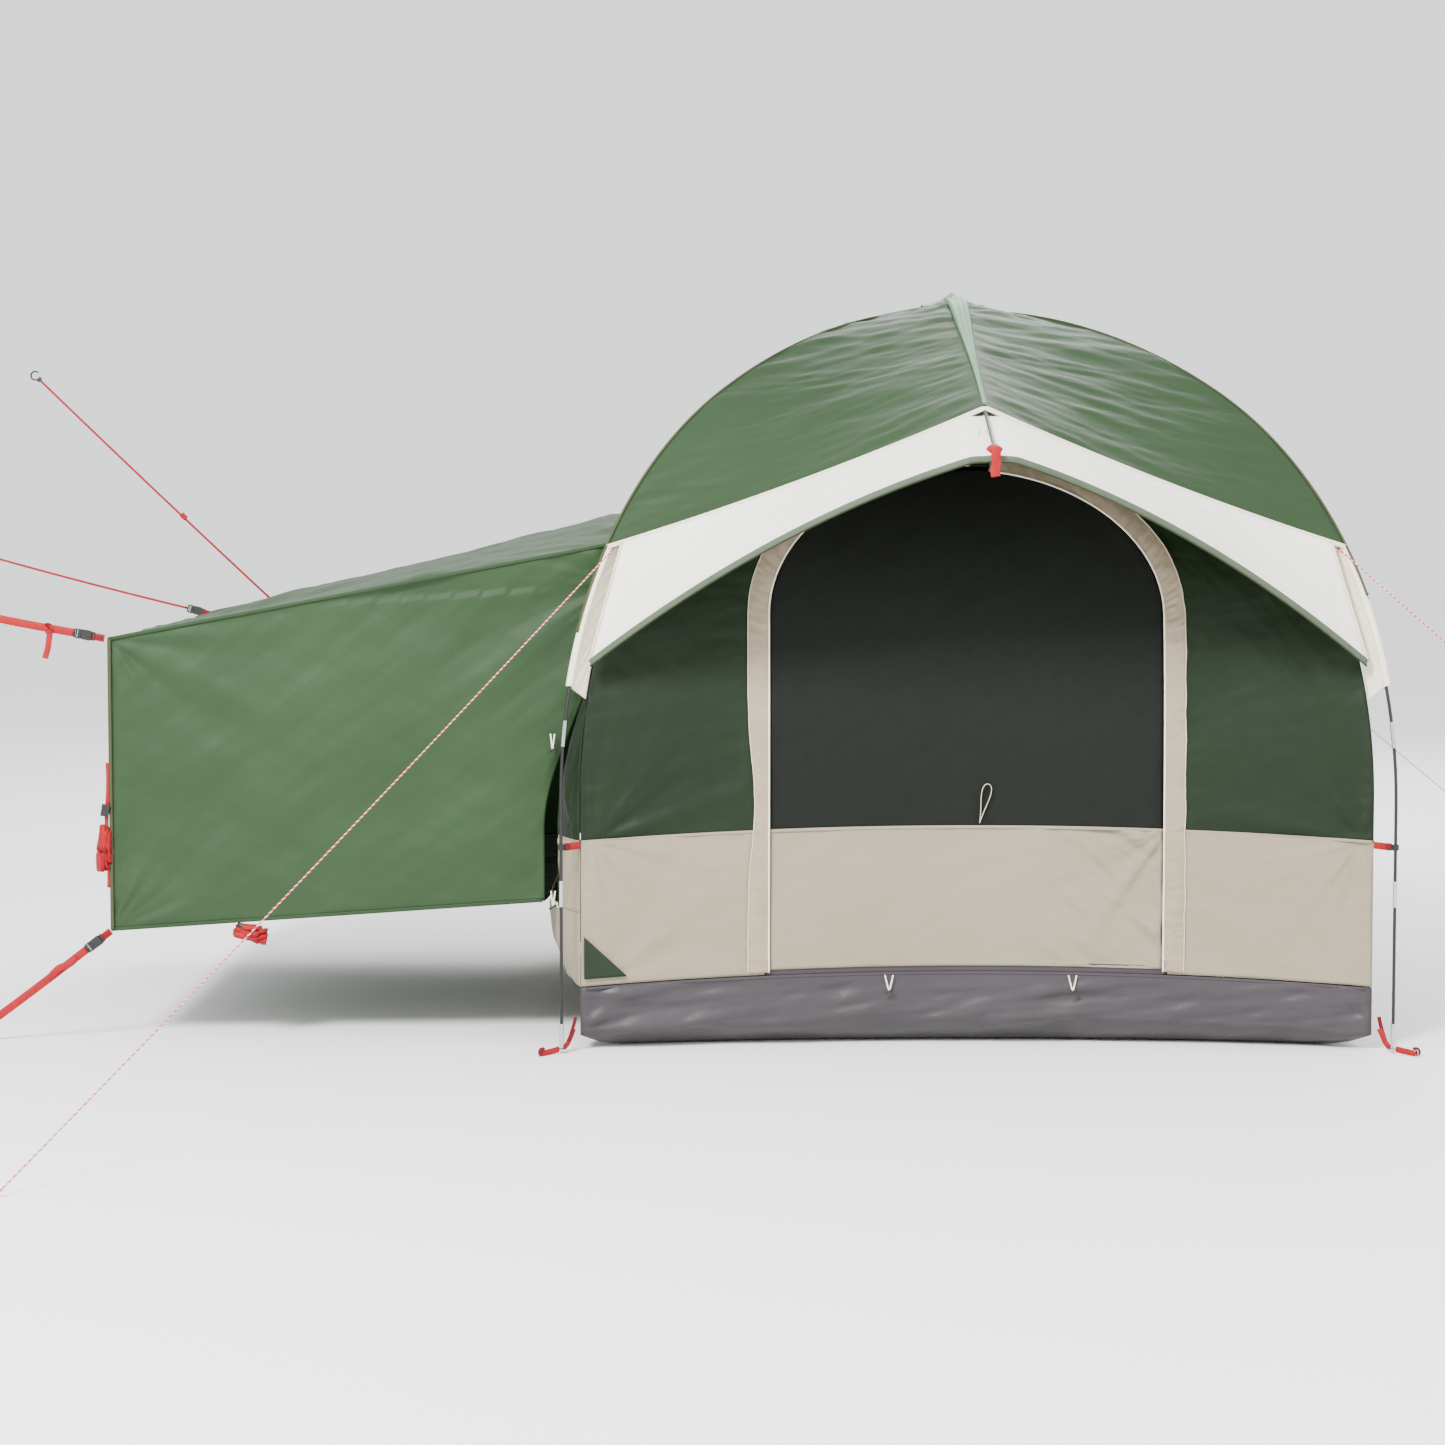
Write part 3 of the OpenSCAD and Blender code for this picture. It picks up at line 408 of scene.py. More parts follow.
def rope_index(k, m):
    """Red rope with white flecks that wind round it."""
    return 1 if (k + m) % 6 < 2 else 0


def guy_rope(name, node, top, peg):
    path = taut(top, peg, ROPE_SAG, 900)
    rope = sweep(name, path, circle(ROPE_RADIUS, 8), [ROPE_RED, ROPE_WHITE], index=rope_index)
    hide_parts(node)
    away = unit(np.asarray(peg) - np.asarray(top))
    loop = []
    for a in np.linspace(0, 2 * math.pi, 40):
        flat = unit([away[0], away[1], 0])
        side = np.cross(flat, [0, 0, 1])
        out = flat * (0.012 - 0.012 * math.cos(a))
        loop.append(np.asarray(peg) + out + side * 0.009 * math.sin(a))
    eye = sweep(name + "_eye", loop, circle(ROPE_RADIUS, 8), [ROPE_RED, ROPE_WHITE],
                index=rope_index)


GUY_FRONT = (1.052, -1.062, 1.468)
GUY_FRONT_PEG = (2.4, -3.2, 0.014)
GUY_REAR = (1.122, 1.134, 1.19)
GUY_REAR_PEG = (2.75, 3.0, 0.014)


def mirrored(p):
    return (-p[0], p[1], p[2])


guy_rope("guy_rope_front_left", "guy_front_left", mirrored(GUY_FRONT), mirrored(GUY_FRONT_PEG))
guy_rope("guy_rope_front_right", "guy_front_right", GUY_FRONT, GUY_FRONT_PEG)
guy_rope("guy_rope_rear_right", "guy_rear_right", GUY_REAR, GUY_REAR_PEG)

NEAR_TOP, NEAR_TOP_END = np.array((-2.556, -1.0, 1.196)), np.array((-2.95, -1.0, 1.272))
NEAR_LOW, NEAR_LOW_END = np.array((-2.548, -1.0, 0.332)), np.array((-2.92, -1.0, 0.052))
FAR_TOP, FAR_TOP_END = np.array((-2.556, 1.055, 1.2)), np.array((-3.4, 1.055, 1.422))
ROOF_STRAP, ROOF_STRAP_END = np.array((-2.35, 1.055, 1.256)), np.array((-3.16, 1.055, 2.03))
STRAP_FROM = 0.096      # a mouth strap begins this far past its corner, at the buckle's tongue


def upright(width, thick):
    """Outline of webbing whose width stands upright."""
    return [(y, x) for x, y in strap_outline(width, thick)]


def end_loop(name, path, body, width):
    """Sewn loop that closes the strap's far end."""
    away = unit(path[-1] - path[-2])
    up = np.cross(np.cross(away, [0, 0, 1]), away)
    ring = [path[-1] - away * 0.016 * (1 - math.cos(a)) + up * 0.004 * math.sin(a)
            for a in np.linspace(-2.6, 2.6, 24)]
    piece = sweep(name, ring, upright(width, STRAP_THICK), RED, body)
    return piece


def free_strap(name, node, start, end, sag, width, body, offset=STRAP_FROM):
    path = taut(start + unit(end - start) * offset, end, sag, 60)
    strap = sweep(name, path, upright(width, STRAP_THICK), RED, body)
    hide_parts(node)
    return strap, path


def webbing_knot(name, centre, body):
    """Overhand knot pulled tight in webbing, with its two turns showing."""
    turns = 1.5
    pts = [np.asarray(centre) + (0.008 * math.sin(2 * a + 1), 0.009 * math.cos(a),
                                 0.014 * math.sin(a))
           for a in np.linspace(0, 2 * math.pi * turns, 40)]
    knot = sweep(name, pts, strap_outline(0.012, 0.005), RED, body)
    return knot


def hanging_tail(name, points, width, body):
    """Free end of webbing that hangs flat towards the front."""
    tail = sweep(name, densify(points), strap_outline(width, 0.0016), RED, body, level=(0, 1, 0))
    return tail


def vehicle_straps():
    wide, narrow = 0.024, 0.008
    body = "buckle_near_top"
    strap, path = free_strap("vehicle_strap_near_top", "strap_near_top", NEAR_TOP, NEAR_TOP_END,
                             0.002, wide, body)
    at = path[14]
    knot = webbing_knot("near_top_knot", at, body)
    tail = hanging_tail("near_top_tail", [at + (0.004, -0.008, -0.004), at + (0.0, -0.01, -0.035),
                                          at + (-0.004, -0.01, -0.06),
                                          at + (-0.012, -0.01, -0.088)], 0.018, body)
    loop = end_loop("near_top_loop", path, body, wide)
    body = "buckle_near_bottom"
    strap, path = free_strap("vehicle_strap_near_low", "strap_near_bottom", NEAR_LOW,
                             NEAR_LOW_END, 0.002, wide, body)
    at = path[6]
    tail = hanging_tail("near_low_tail", [at + (0.002, -0.006, 0.0), at + (-0.018, -0.009, -0.018),
                                          at + (-0.05, -0.011, -0.03),
                                          at + (-0.078, -0.012, -0.058)], 0.02, body)
    loop = end_loop("near_low_loop", path, body, wide)
    body = "buckle_far_top"
    strap, path = free_strap("vehicle_strap_far_top", "strap_far_top", FAR_TOP, FAR_TOP_END,
                             0.004, narrow, body)
    loop = end_loop("far_top_loop", path, body, narrow)
    strap, path = free_strap("vehicle_strap_roof", "roof_strap", ROOF_STRAP, ROOF_STRAP_END,
                             0.004, narrow, "root", 0.0)


vehicle_straps()


# ---------------------------------------------------------------- the dome's shape
# The driving sizes of part.scad, in metres.
TOP_HEIGHT, TOP_R, SHOULDER_R, LOWER_R, WALL_GAP = 2.2, 2.1, 1.3, 1.55, 0.075
TOP_LEAN, SHOULDER_LEAN = math.radians(30), math.radians(76)
TOP_C = np.array((0.0, TOP_HEIGHT - TOP_R))


def lean_vector(a):
    return np.array((math.sin(a), math.cos(a)))


SHOULDER_C = TOP_C + (TOP_R - SHOULDER_R) * lean_vector(TOP_LEAN)
LOWER_C = SHOULDER_C + (SHOULDER_R - LOWER_R) * lean_vector(SHOULDER_LEAN)
FOOT_S = LOWER_C[0] + LOWER_R
ROOT2 = math.sqrt(2)


def pole_s(z, off=0.0):
    """Distance of a main pole from the middle at height z, moved inwards by off."""
    z = np.asarray(z, float)
    lower = LOWER_C[0] + np.sqrt(np.maximum((LOWER_R - off) ** 2 - (z - LOWER_C[1]) ** 2, 0))
    shoulder = SHOULDER_C[0] + np.sqrt(
        np.maximum((SHOULDER_R - off) ** 2 - (z - SHOULDER_C[1]) ** 2, 0))
    top = np.sqrt(np.maximum((TOP_R - off) ** 2 - (z - TOP_C[1]) ** 2, 0))
    low_end = LOWER_C[1] + (LOWER_R - off) * math.cos(SHOULDER_LEAN)
    high_end = SHOULDER_C[1] + (SHOULDER_R - off) * math.cos(TOP_LEAN)
    return np.where(z <= LOWER_C[1], FOOT_S - off,
                    np.where(z <= low_end, lower, np.where(z <= high_end, shoulder, top)))


def pole_at(lean_deg, off=0.0):
    """Distance from the middle and height where the curve's normal leans by that angle."""
    a = np.radians(np.asarray(lean_deg, float))
    s = np.select([a <= TOP_LEAN, a <= SHOULDER_LEAN],
                  [(TOP_R - off) * np.sin(a), SHOULDER_C[0] + (SHOULDER_R - off) * np.sin(a)],
                  LOWER_C[0] + (LOWER_R - off) * np.sin(a))
    z = np.select([a <= TOP_LEAN, a <= SHOULDER_LEAN],
                  [TOP_C[1] + (TOP_R - off) * np.cos(a),
                   SHOULDER_C[1] + (SHOULDER_R - off) * np.cos(a)],
                  LOWER_C[1] + (LOWER_R - off) * np.cos(a))
    return s, z


def wall_w(v):
    return pole_s(v, WALL_GAP) / ROOT2


WALL_BOW, SEAM_RISE = 0.1, 0.035
DOOR_X, DOOR_HALF, DOOR_SPRING, DOOR_ARCH = -0.025, 0.585, 1.27, 0.43
SEAM, TUB, WALL_TOP, TUB_LIFT = 0.61, 0.185, 1.725, 0.045


def bow(v):
    return WALL_BOW * (1 - 0.5 * ease(v, 0.7, 1.5))


def rise(v):
    return SEAM_RISE * (1 - ease(v, 0.7, 1.4))


def wall_at(x, v, off=0.0):
    """Points of the front wall at x across and height v, off metres outwards."""
    w = wall_w(v)
    q = 1 - (x / w) ** 2
    return np.stack(np.broadcast_arrays(x, bow(v) * q - w - off, v + rise(v) * q), -1)


def door_w(v, off):
    """Half width of the door's outline at height v, off metres outside it."""
    arch = 1 - ((v - DOOR_SPRING) / (DOOR_ARCH + off)) ** 2
    round_part = (DOOR_HALF + off) * np.sqrt(np.maximum(0, arch))
    return np.where(v <= DOOR_SPRING, DOOR_HALF + off, round_part)


def turned(p, quarter):
    """Points turned about Z by quarter turns, from the front wall to another side."""
    c, s = [(1, 0), (0, 1), (-1, 0), (0, -1)][quarter % 4]
    return np.stack([p[..., 0] * c - p[..., 1] * s, p[..., 0] * s + p[..., 1] * c, p[..., 2]], -1)


# ---------------------------------------------------------------- how cloth wrinkles
def fan(x, y, centre, reach, rays, seed):
    """Tension folds that spread from a point, dying away over reach."""
    dx, dy = x - centre[0], y - centre[1]
    r = np.hypot(dx, dy)
    a = np.arctan2(dy, dx)
    fade = np.exp(-r / reach) * ease(r, 0.0, 0.08)
    return ripple(a * rays, r, 1.0, 0.9, seed, 2) * fade


def creases(x, y, angle, pitch, seed, length=6.0):
    """Soft parallel folds along a direction, pitch apart."""
    c, s = math.cos(math.radians(angle)), math.sin(math.radians(angle))
    along, across = x * c + y * s, -x * s + y * c
    return ripple(along, across, pitch * length, pitch, seed, 3)


def sharp(h):
    """Rounded valleys with tighter ridges, as a stretched cloth folds."""
    return np.sign(h) * np.abs(h) ** 0.8


def push(p, h):
    """Moves a grid of points along its normals by h."""
    return p + grid_normals(p) * h[..., None]


CLOTH, THIN_CLOTH = 0.0016, 0.0012
WALL_SHARE, SEAM_SHARE = 0.9985, 0.997      # of a wall's half width, clear of the corners


def cover(name, p, mats, body, node=None, thick=CLOTH):
    """Cloth on a grid of points, which stands for the named CAD nodes."""
    piece = sheet_mesh(name, p, thick, mats, body)
    if node:
        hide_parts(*node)
    return piece


def cord_of(name, path, width, thick, mats, body, level=(0, 0, 1)):
    """Narrow binding or piping that follows a seam."""
    piece = sweep(name, path, strap_outline(width, thick), mats, body, level)
    return piece


# ---------------------------------------------------------------- groundsheet tub
FLOOR_HALF = 1.01


def tub():
    floor_u = np.linspace(-1, 1, 41)
    for quarter in range(4):
        cols, rows = 121, 22
        u = np.linspace(-1, 1, cols)
        flat = []
        for v in np.linspace(TUB_LIFT, TUB - 0.002, rows - 4):
            flat.append(wall_at(u * wall_w(v), v + 0 * u))
        rim = FLOOR_HALF + 0.004
        inner = np.stack([u * rim, 0.07 * (1 - u * u) - rim, 0 * u + 0.0015], -1)
        start = flat[0]
        up = np.array([0, 0, 1])
        under = [mix(inner, start, t) - up * 0.012 * math.sin(math.pi * t) * (t > 0)
                 for t in (0, 0.3, 0.6, 0.85)]
        p = np.array(under + flat)
        p[..., 2] = np.maximum(p[..., 2], 0.0012)
        x, z = np.broadcast_to(u, p.shape[:2]) * 1.15, p[..., 2]
        h = 0.012 * creases(x, z, 7, 0.04, 3 + quarter, 7)
        h = h + 0.004 * creases(x, z, 30, 0.03, 23 + quarter, 5)
        h = h + 0.018 * fan(x, z, (-1.15, 0.05), 0.35, 3.2, 5 + quarter)
        h = h + 0.014 * fan(x, z, (1.15, 0.05), 0.35, 3.2, 9 + quarter)
        h = h + 0.006 * ripple(x, z, 0.3, 0.09, 12 + quarter)
        h = h * ease(z, 0.004, 0.05) * ease(TUB + 0.02 - z, 0, 0.04) * ease(1 - np.abs(u), 0, 0.03)
        q = turned(push(p, -h), quarter)
        cover(f"tub_wall_{quarter}", q, GREY, "root",
              ["tub_walls"] if quarter == 0 else None)
        low, width, thick = (0.006, 0.008, 0.0012) if quarter == 0 else (0.0, 0.012, 0.003)
        hem = turned(wall_at(u * wall_w(TUB), TUB - low + 0 * u,
                             0.0024 if quarter == 0 else 0.0015), quarter)
        cord_of(f"tub_seam_{quarter}", hem[1:-1], width, thick, CREAM if quarter != 0 else GREY,
                "root", (0, 1, 0) if quarter % 2 == 0 else (1, 0, 0))
    side = floor_u * FLOOR_HALF
    x, y = np.meshgrid(side, side)
    shrink = 1 - 0.07 * (1 - floor_u[None, :] ** 2) * np.abs(floor_u[:, None]) ** 8
    shrink_x = 1 - 0.07 * (1 - floor_u[:, None] ** 2) * np.abs(floor_u[None, :]) ** 8
    p = np.stack([x * shrink_x, y * shrink, 0 * x + 0.0016], -1)
    inside = 1 - np.abs(floor_u[None, :]) ** 12
    p[..., 2] += 0.004 * (0.5 + 0.5 * ripple(x, y, 0.25, 0.25, 44)) * inside
    floor = cover("groundsheet", p, GREY, "root", ["tub_floor"])


# ---------------------------------------------------------------- walls
def wall_folds(x, z, seed, low=TUB, high=WALL_TOP):
    """Folds of a plain wall stretched between its four corners and its side clips."""
    half, h, k = 1.12, 0.0, 0
    for height, inset, depth, reach, rays in ((low, 0.0, 0.022, 0.4, 2.6),
                                              (SEAM, 0.0, 0.018, 0.3, 3.4),
                                              (high, 0.15, 0.020, 0.5, 2.6)):
        for side in (-1, 1):
            h = h + depth * fan(x, z, (side * (half - inset), height), reach, rays, seed + k)
            k += 1
    h = h + 0.006 * sharp(ripple(x, z, 0.5, 0.35, seed + 6))
    h = h + 0.0028 * creases(x, z, 12, 0.06, seed + 7)
    return h + 0.0022 * creases(x, z, -50, 0.045, seed + 8, 4.0)


def edge_fade(u, v, margin=0.02):
    """1 inside a piece and 0 at its edges, u and v from 0 to 1."""
    return (ease(u, 0, margin) * ease(1 - u, 0, margin)
            * ease(v, 0, margin) * ease(1 - v, 0, margin))


def spread_heights(v0, v1, rows):
    b = np.linspace(0, 1, rows)
    return v0 + (v1 - v0) * (1 - (1 - b) ** 1.35)


def front_side(side):
    """Wall beside the door: side -1 on the left, 1 on the right."""
    label = "left" if side < 0 else "right"
    for part, v0, v1, mats, slot_name, rows in (
            ("lower", TUB + 0.001, SEAM - 0.0005, BEIGE, "wall_beige", 60),
            ("upper", SEAM + 0.0005, WALL_TOP, GREEN, "wall_fabric", 150)):
        v = spread_heights(v0, v1, rows)[:, None]
        t = np.linspace(0, 1, 70)[None, :]
        inner = DOOR_X + side * door_w(v, 0.007)
        outer = side * WALL_SHARE * wall_w(v)
        x = mix(outer, inner, t) if side < 0 else mix(inner, outer, t)
        p = wall_at(x, v + 0 * x)
        rim = np.abs(x - (DOOR_X + side * door_w(v, 0.0)))
        h = wall_folds(x, v + 0 * x, 20 + 30 * (side > 0) + len(part))
        h = h + 0.0055 * ripple(v + 0 * x, rim, 0.03, 0.25, 70 + side) * np.exp(-rim / 0.10)
        near_pole = np.exp(-(wall_w(v) - np.abs(x)) / 0.06)
        h = h + 0.006 * ripple(v + 0 * x, 1.15 - np.abs(x), 0.045, 0.2, 74 + side) * near_pole
        h = h * mix(0.12, 1, ease(rim, 0.052, 0.085))
        h = h * mix(0.25, 1, ease(np.hypot(np.abs(x) - 1.13, v - TUB), 0.12, 0.26))
        h = h * edge_fade(t, np.linspace(0, 1, rows)[:, None])
        piece = cover(f"front_{label}_{part}", push(p, h), mats, "root",
                      [f"front_wall_{label}"] if part == "upper" else None)
    seam_x = np.linspace(side * SEAM_SHARE * wall_w(SEAM), DOOR_X + side * (DOOR_HALF + 0.006), 50)
    if side < 0:
        seam_x = np.sort(seam_x)
    cord_of(f"front_{label}_seam", wall_at(seam_x, SEAM + 0 * seam_x, 0.0016), 0.009, 0.0022, BEIGE,
            "root", (0, 1, 0))


def plain_wall(name, quarter, seed):
    for part, v0, v1, mats, slot_name, rows in (
            ("lower", TUB + 0.001, SEAM - 0.0005, BEIGE, "wall_beige", 50),
            ("upper", SEAM + 0.0005, WALL_TOP, GREEN, "wall_fabric", 110)):
        v = spread_heights(v0, v1, rows)[:, None]
        t = np.linspace(0, 1, 150)[None, :]
        x = (2 * t - 1) * WALL_SHARE * wall_w(v)
        p = wall_at(x, v + 0 * x)
        h = wall_folds(x, v + 0 * x, seed) * edge_fade(t, np.linspace(0, 1, rows)[:, None])
        piece = cover(f"{name}_{part}", turned(push(p, h), quarter), mats, "root",
                      [name] if part == "upper" else None)
    x = np.linspace(-1, 1, 80) * SEAM_SHARE * wall_w(SEAM)
    seam = turned(wall_at(x, SEAM + 0 * x, 0.0016), quarter)
    cord_of(f"{name}_seam", seam, 0.009, 0.0022, BEIGE, "root",
            (0, 1, 0) if quarter % 2 == 0 else (1, 0, 0))


# ---------------------------------------------------------------- left wall round the passage
LEFT_BULGE, PASSAGE_LOW, PASSAGE_TOP, PASSAGE_EDGE = 0.11, 0.402, 1.45, 0.84


def left_bulge(z):
    return LEFT_BULGE * ease(z, 0.06, 0.33) * (1 - ease(z, 0.64, 1.15))


def left_at(u, v):
    w = wall_w(v)
    p = np.stack(np.broadcast_arrays(u * w, -w - left_bulge(v) * (1 - np.abs(u) ** 6), v), -1)
    return turned(p, 3)


def left_panel(name, v0, v1, u0, u1, mats, node, seed, rows=30, cols=40):
    v = np.linspace(v0, v1, rows)[:, None]
    t = np.linspace(0, 1, cols)[None, :]
    u = mix(u0, u1, t)
    p = left_at(u + 0 * v, v + 0 * u)
    y = u * wall_w(v)
    h = 0.008 * ripple(y, v, 0.12, 0.3, seed) + 0.005 * creases(y, v + 0 * u, 70, 0.05, seed + 1)
    h = h + 0.012 * fan(y, v + 0 * y, (-1.13 if u0 < 0 else 1.13, SEAM), 0.3, 3.0, seed + 2)
    h = h * edge_fade(t, np.linspace(0, 1, rows)[:, None], 0.04)
    return cover(name, push(p, h), mats, "root", node), p


def left_wall():
    piece, p = left_panel("left_lower", TUB + 0.001, PASSAGE_LOW, -WALL_SHARE, WALL_SHARE, BEIGE,
                          ["left_wall_lower"], 60, 36, 130)
    for side, label in ((-1, "front"), (1, "rear")):
        u0, u1 = (-WALL_SHARE, -PASSAGE_EDGE) if side < 0 else (PASSAGE_EDGE, WALL_SHARE)
        left_panel(f"left_{label}_low", PASSAGE_LOW + 0.0005, SEAM - 0.0005, u0, u1, BEIGE,
                   None, 63 + side)
        node = ["left_wall_sides"] if side < 0 else None
        piece, p = left_panel(f"left_{label}_high", SEAM + 0.0005, PASSAGE_TOP, u0, u1, GREEN,
                              node, 66 + side, 60)
        u = np.linspace(u0, u1, 30)
        cord_of(f"left_{label}_seam", left_at(u, SEAM + 0 * u) - np.array([0.0015, 0, 0]), 0.009,
                0.0022, BEIGE, "root", (1, 0, 0))
        v = np.linspace(PASSAGE_LOW, PASSAGE_TOP, 60)
        edge = left_at(side * PASSAGE_EDGE + 0 * v, v)
        cord_of(f"passage_{label}_binding", edge - np.array([0.001, 0, 0]), 0.016, 0.004, GREEN,
                "root", (1, 0, 0))
    left_panel("left_top", PASSAGE_TOP + 0.0005, WALL_TOP, -WALL_SHARE, WALL_SHARE, GREEN,
               ["left_wall_top"], 69, 20, 120)
    u = np.linspace(-PASSAGE_EDGE, PASSAGE_EDGE, 60)
    for label, v in (("low", PASSAGE_LOW), ("top", PASSAGE_TOP)):
        cord_of(f"passage_{label}_binding", left_at(u, v + 0 * u) - np.array([0.001, 0, 0]), 0.016,
                0.004, CREAM, "root", (1, 0, 0))


tub()
front_side(-1)
front_side(1)
plain_wall("right_wall", 1, 40)
plain_wall("rear_wall", 2, 50)
left_wall()


# ---------------------------------------------------------------- door, flaps and zips
DOOR_BOTTOM, DOOR_TOP = 0.200, 1.694
PULL_X, PULL_LEAN, PULL_HEIGHT, PULL_HALF = 0.015, math.radians(12), 0.118, 0.010


def door_grid(v0, v1, rows, cols, off=-0.0085):
    v = spread_heights(v0, v1, rows)[:, None]
    t = np.linspace(-1, 1, cols)[None, :]
    x = DOOR_X + t * door_w(v, off)
    return x, v + 0 * x, t, np.linspace(0, 1, rows)[:, None]


def door():
    x, v, t, b = door_grid(DOOR_BOTTOM, SEAM - 0.0005, 60, 130)
    p = wall_at(x, v)
    h = 0.018 * creases(x, v, -38, 0.05, 81) * ease(x, 0.05, 0.35)
    h = h + 0.020 * fan(x, v, (DOOR_X + DOOR_HALF, SEAM), 0.4, 3.4, 82)
    h = h + 0.004 * ripple(v, x, 0.035, 0.3, 83) * np.exp(-(x - DOOR_X + DOOR_HALF) / 0.06)
    h = h + 0.004 * ripple(v, x, 0.035, 0.3, 84) * np.exp(-(DOOR_X + DOOR_HALF - x) / 0.06)
    h = h + 0.004 * ripple(x, v, 0.5, 0.2, 85) + 0.0025 * creases(x, v, 25, 0.05, 86)
    h = h * edge_fade(t * 0.5 + 0.5, b, 0.015)
    piece = cover("door_lower_cloth", push(p, h), BEIGE, "door", ["door_lower"])
    x, v, t, b = door_grid(SEAM + 0.0005, DOOR_TOP, 130, 120)
    p = wall_at(x, v)
    h = 0.004 * ripple(x, v, 0.6, 0.5, 87) + 0.003 * fan(x, v, (DOOR_X, 0.9), 0.8, 1.4, 88)
    h = h + 0.0012 * creases(x, v, 30, 0.05, 89)
    h = h * edge_fade(t * 0.5 + 0.5, b, 0.02)
    piece = cover("door_window_mesh", push(p, h), WINDOW, "door", ["door_window"])
    xs = np.linspace(DOOR_X - DOOR_HALF + 0.006, DOOR_X + DOOR_HALF - 0.006, 120)
    seam = wall_at(xs, SEAM + 0 * xs, 0.0018)
    xs = np.linspace(DOOR_X - DOOR_HALF - 0.004, DOOR_X + DOOR_HALF + 0.004, 100)[None, :]
    sill = wall_at(xs, np.linspace(TUB - 0.004, TUB + 0.024, 8)[:, None] + 0 * xs, -0.0045)
    cover("door_sill", sill, GREY, "root", thick=THIN_CLOTH)
    cord_of("door_seam", seam, 0.010, 0.0024, BEIGE, "door", (0, 1, 0))
    base = wall_at(np.array(PULL_X), np.array(SEAM + 0.012), 0.004)
    across = np.array([math.cos(PULL_LEAN), 0, -math.sin(PULL_LEAN)])
    along = np.array([math.sin(PULL_LEAN), 0, math.cos(PULL_LEAN)])
    loop = []
    for a in np.linspace(0, 1, 60):
        side = math.sin(2 * math.pi * a) * PULL_HALF * (1 + 0.5 * math.sin(math.pi * a))
        height = PULL_HEIGHT * math.sin(math.pi * a) ** 0.8
        forward = np.array([0, -0.004 - 0.005 * math.sin(math.pi * a), 0])
        loop.append(base + across * side + along * height + forward)
    sweep("door_pull_tape", loop, upright(0.007, 0.002), CREAM_DARK, "door", level=(0, 1, 0),
          node="door_pull")


FLAP_RUN = 2.6      # metres along a door band, from the sill to near the crown


def rim_point(side, k, off, lift):
    """Points beside the door's outline: k from 0 at the sill to 1 near the crown."""
    straight = 0.62
    k, off = np.broadcast_arrays(np.asarray(k, float), np.asarray(off, float))
    a = np.radians(82 * np.clip((k - straight) / (1 - straight), 0, 1))
    v_low = mix(TUB + 0.008, DOOR_SPRING, np.clip(k / straight, 0, 1))
    x = np.where(k <= straight, DOOR_HALF + off, (DOOR_HALF + off) * np.cos(a))
    v = np.where(k <= straight, v_low, DOOR_SPRING + (DOOR_ARCH + off) * np.sin(a))
    return wall_at(DOOR_X + side * x, v, lift)


def flap(side):
    """Storm flap: a doubled band with piping on its inner edge, gathered along the arch."""
    label = "left" if side < 0 else "right"
    rows, cols = 320, 13
    k = np.linspace(0, 1, rows)[:, None]
    c = np.linspace(0, 1, cols)[None, :]
    wave = ripple(k * FLAP_RUN, 0 * c, 0.12, 1.0, 90 + side) * 0.5
    height = rim_point(side, k, 0.0, 0.0)[..., 2]
    narrow = 0.020 * np.exp(-((height - 0.72) / 0.17) ** 2) if side < 0 else 0.0
    outer = 0.055 - narrow + (0.006 if side > 0 else 0.003) * wave
    off = mix(-0.0062, outer, c)
    along = k * FLAP_RUN
    gathers = ripple(along - 0.6 * c * 0.07, c, 0.018, 0.9, 92 + side)
    lift = 0.0035 + 0.0045 * np.sin(np.pi * c) + 0.0042 * gathers
    lift = lift + 0.0022 * ripple(along, c, 0.07, 0.8, 94 + side) + 0.003 * (1 - c)
    p = rim_point(side, k + 0 * c, off, 0.0)
    if side < 0:
        p, lift = p[:, ::-1], lift[:, ::-1]
    slider_room = 0.0062 + 0.0048 * ease(height, 0.38, 0.52) * (1 - ease(height, 0.78, 1.0))
    room = mix(slider_room, 0.0034, c if side > 0 else 1 - c)
    q = p - np.array([0, 1, 0]) * np.maximum(lift, room)[..., None]
    piece = cover(f"flap_{label}_band", q, BAND, "root", [f"flap_{label}"])
    for name, at, width, mat in (("piping", 0 if side > 0 else -1, 0.006, CREAM),
                                 ("hem", -1 if side > 0 else 0, 0.004, CREAM_DARK)):
        path = q[:, at] - np.array([0, 0.0012, 0])
        sweep(f"flap_{label}_{name}", path[::2], circle(width / 2, 6), mat, "root", level=(0, 1, 0))
    # Painted shadow: a dark strip in the window's mesh colour, set behind the gap between the
    # door's window and the flap, so the slit shows as a dark shadow line
    shade = rim_point(side, np.linspace(0, 1, 160), -0.006, -0.006)
    sweep(f"zip_{label}_tape", shade, upright(0.020, 0.0012), WINDOW, "root", level=(0, 1, 0))


def zip_pulls():
    for side, label in ((-1, "left"), (1, "right")):
        at = wall_at(np.array(DOOR_X + side * (DOOR_HALF + 0.0005)), np.array(TUB + 0.05), 0.006)
        path = [at + (0, 0, 0.004), at + (0, -0.002, -0.010), at + (0, -0.001, -0.034)]
        sweep(f"zip_pull_{label}", path, upright(0.002, 0.006), ZIP_METAL,
              f"zip_slider_{label}", level=(0, 1, 0))


def corner_patch():
    """Sewn triangle at the left foot of the front wall."""
    rows, cols, foot, size, off = 14, 10, 0.208, 0.125, 0.012
    tri = []
    for i in range(rows):
        b = i / (rows - 1)
        v = foot + size * b
        left = -0.992 * wall_w(v)
        across = [left + 0.002 + (1 - b) * size * j / (cols - 1) for j in range(cols)]
        tri.append([wall_at(np.array(x), np.array(v), off) for x in across])
    cover("corner_patch_cloth", np.array(tri), PATCH, "root", thick=THIN_CLOTH)


door()
flap(-1)
flap(1)
zip_pulls()
corner_patch()


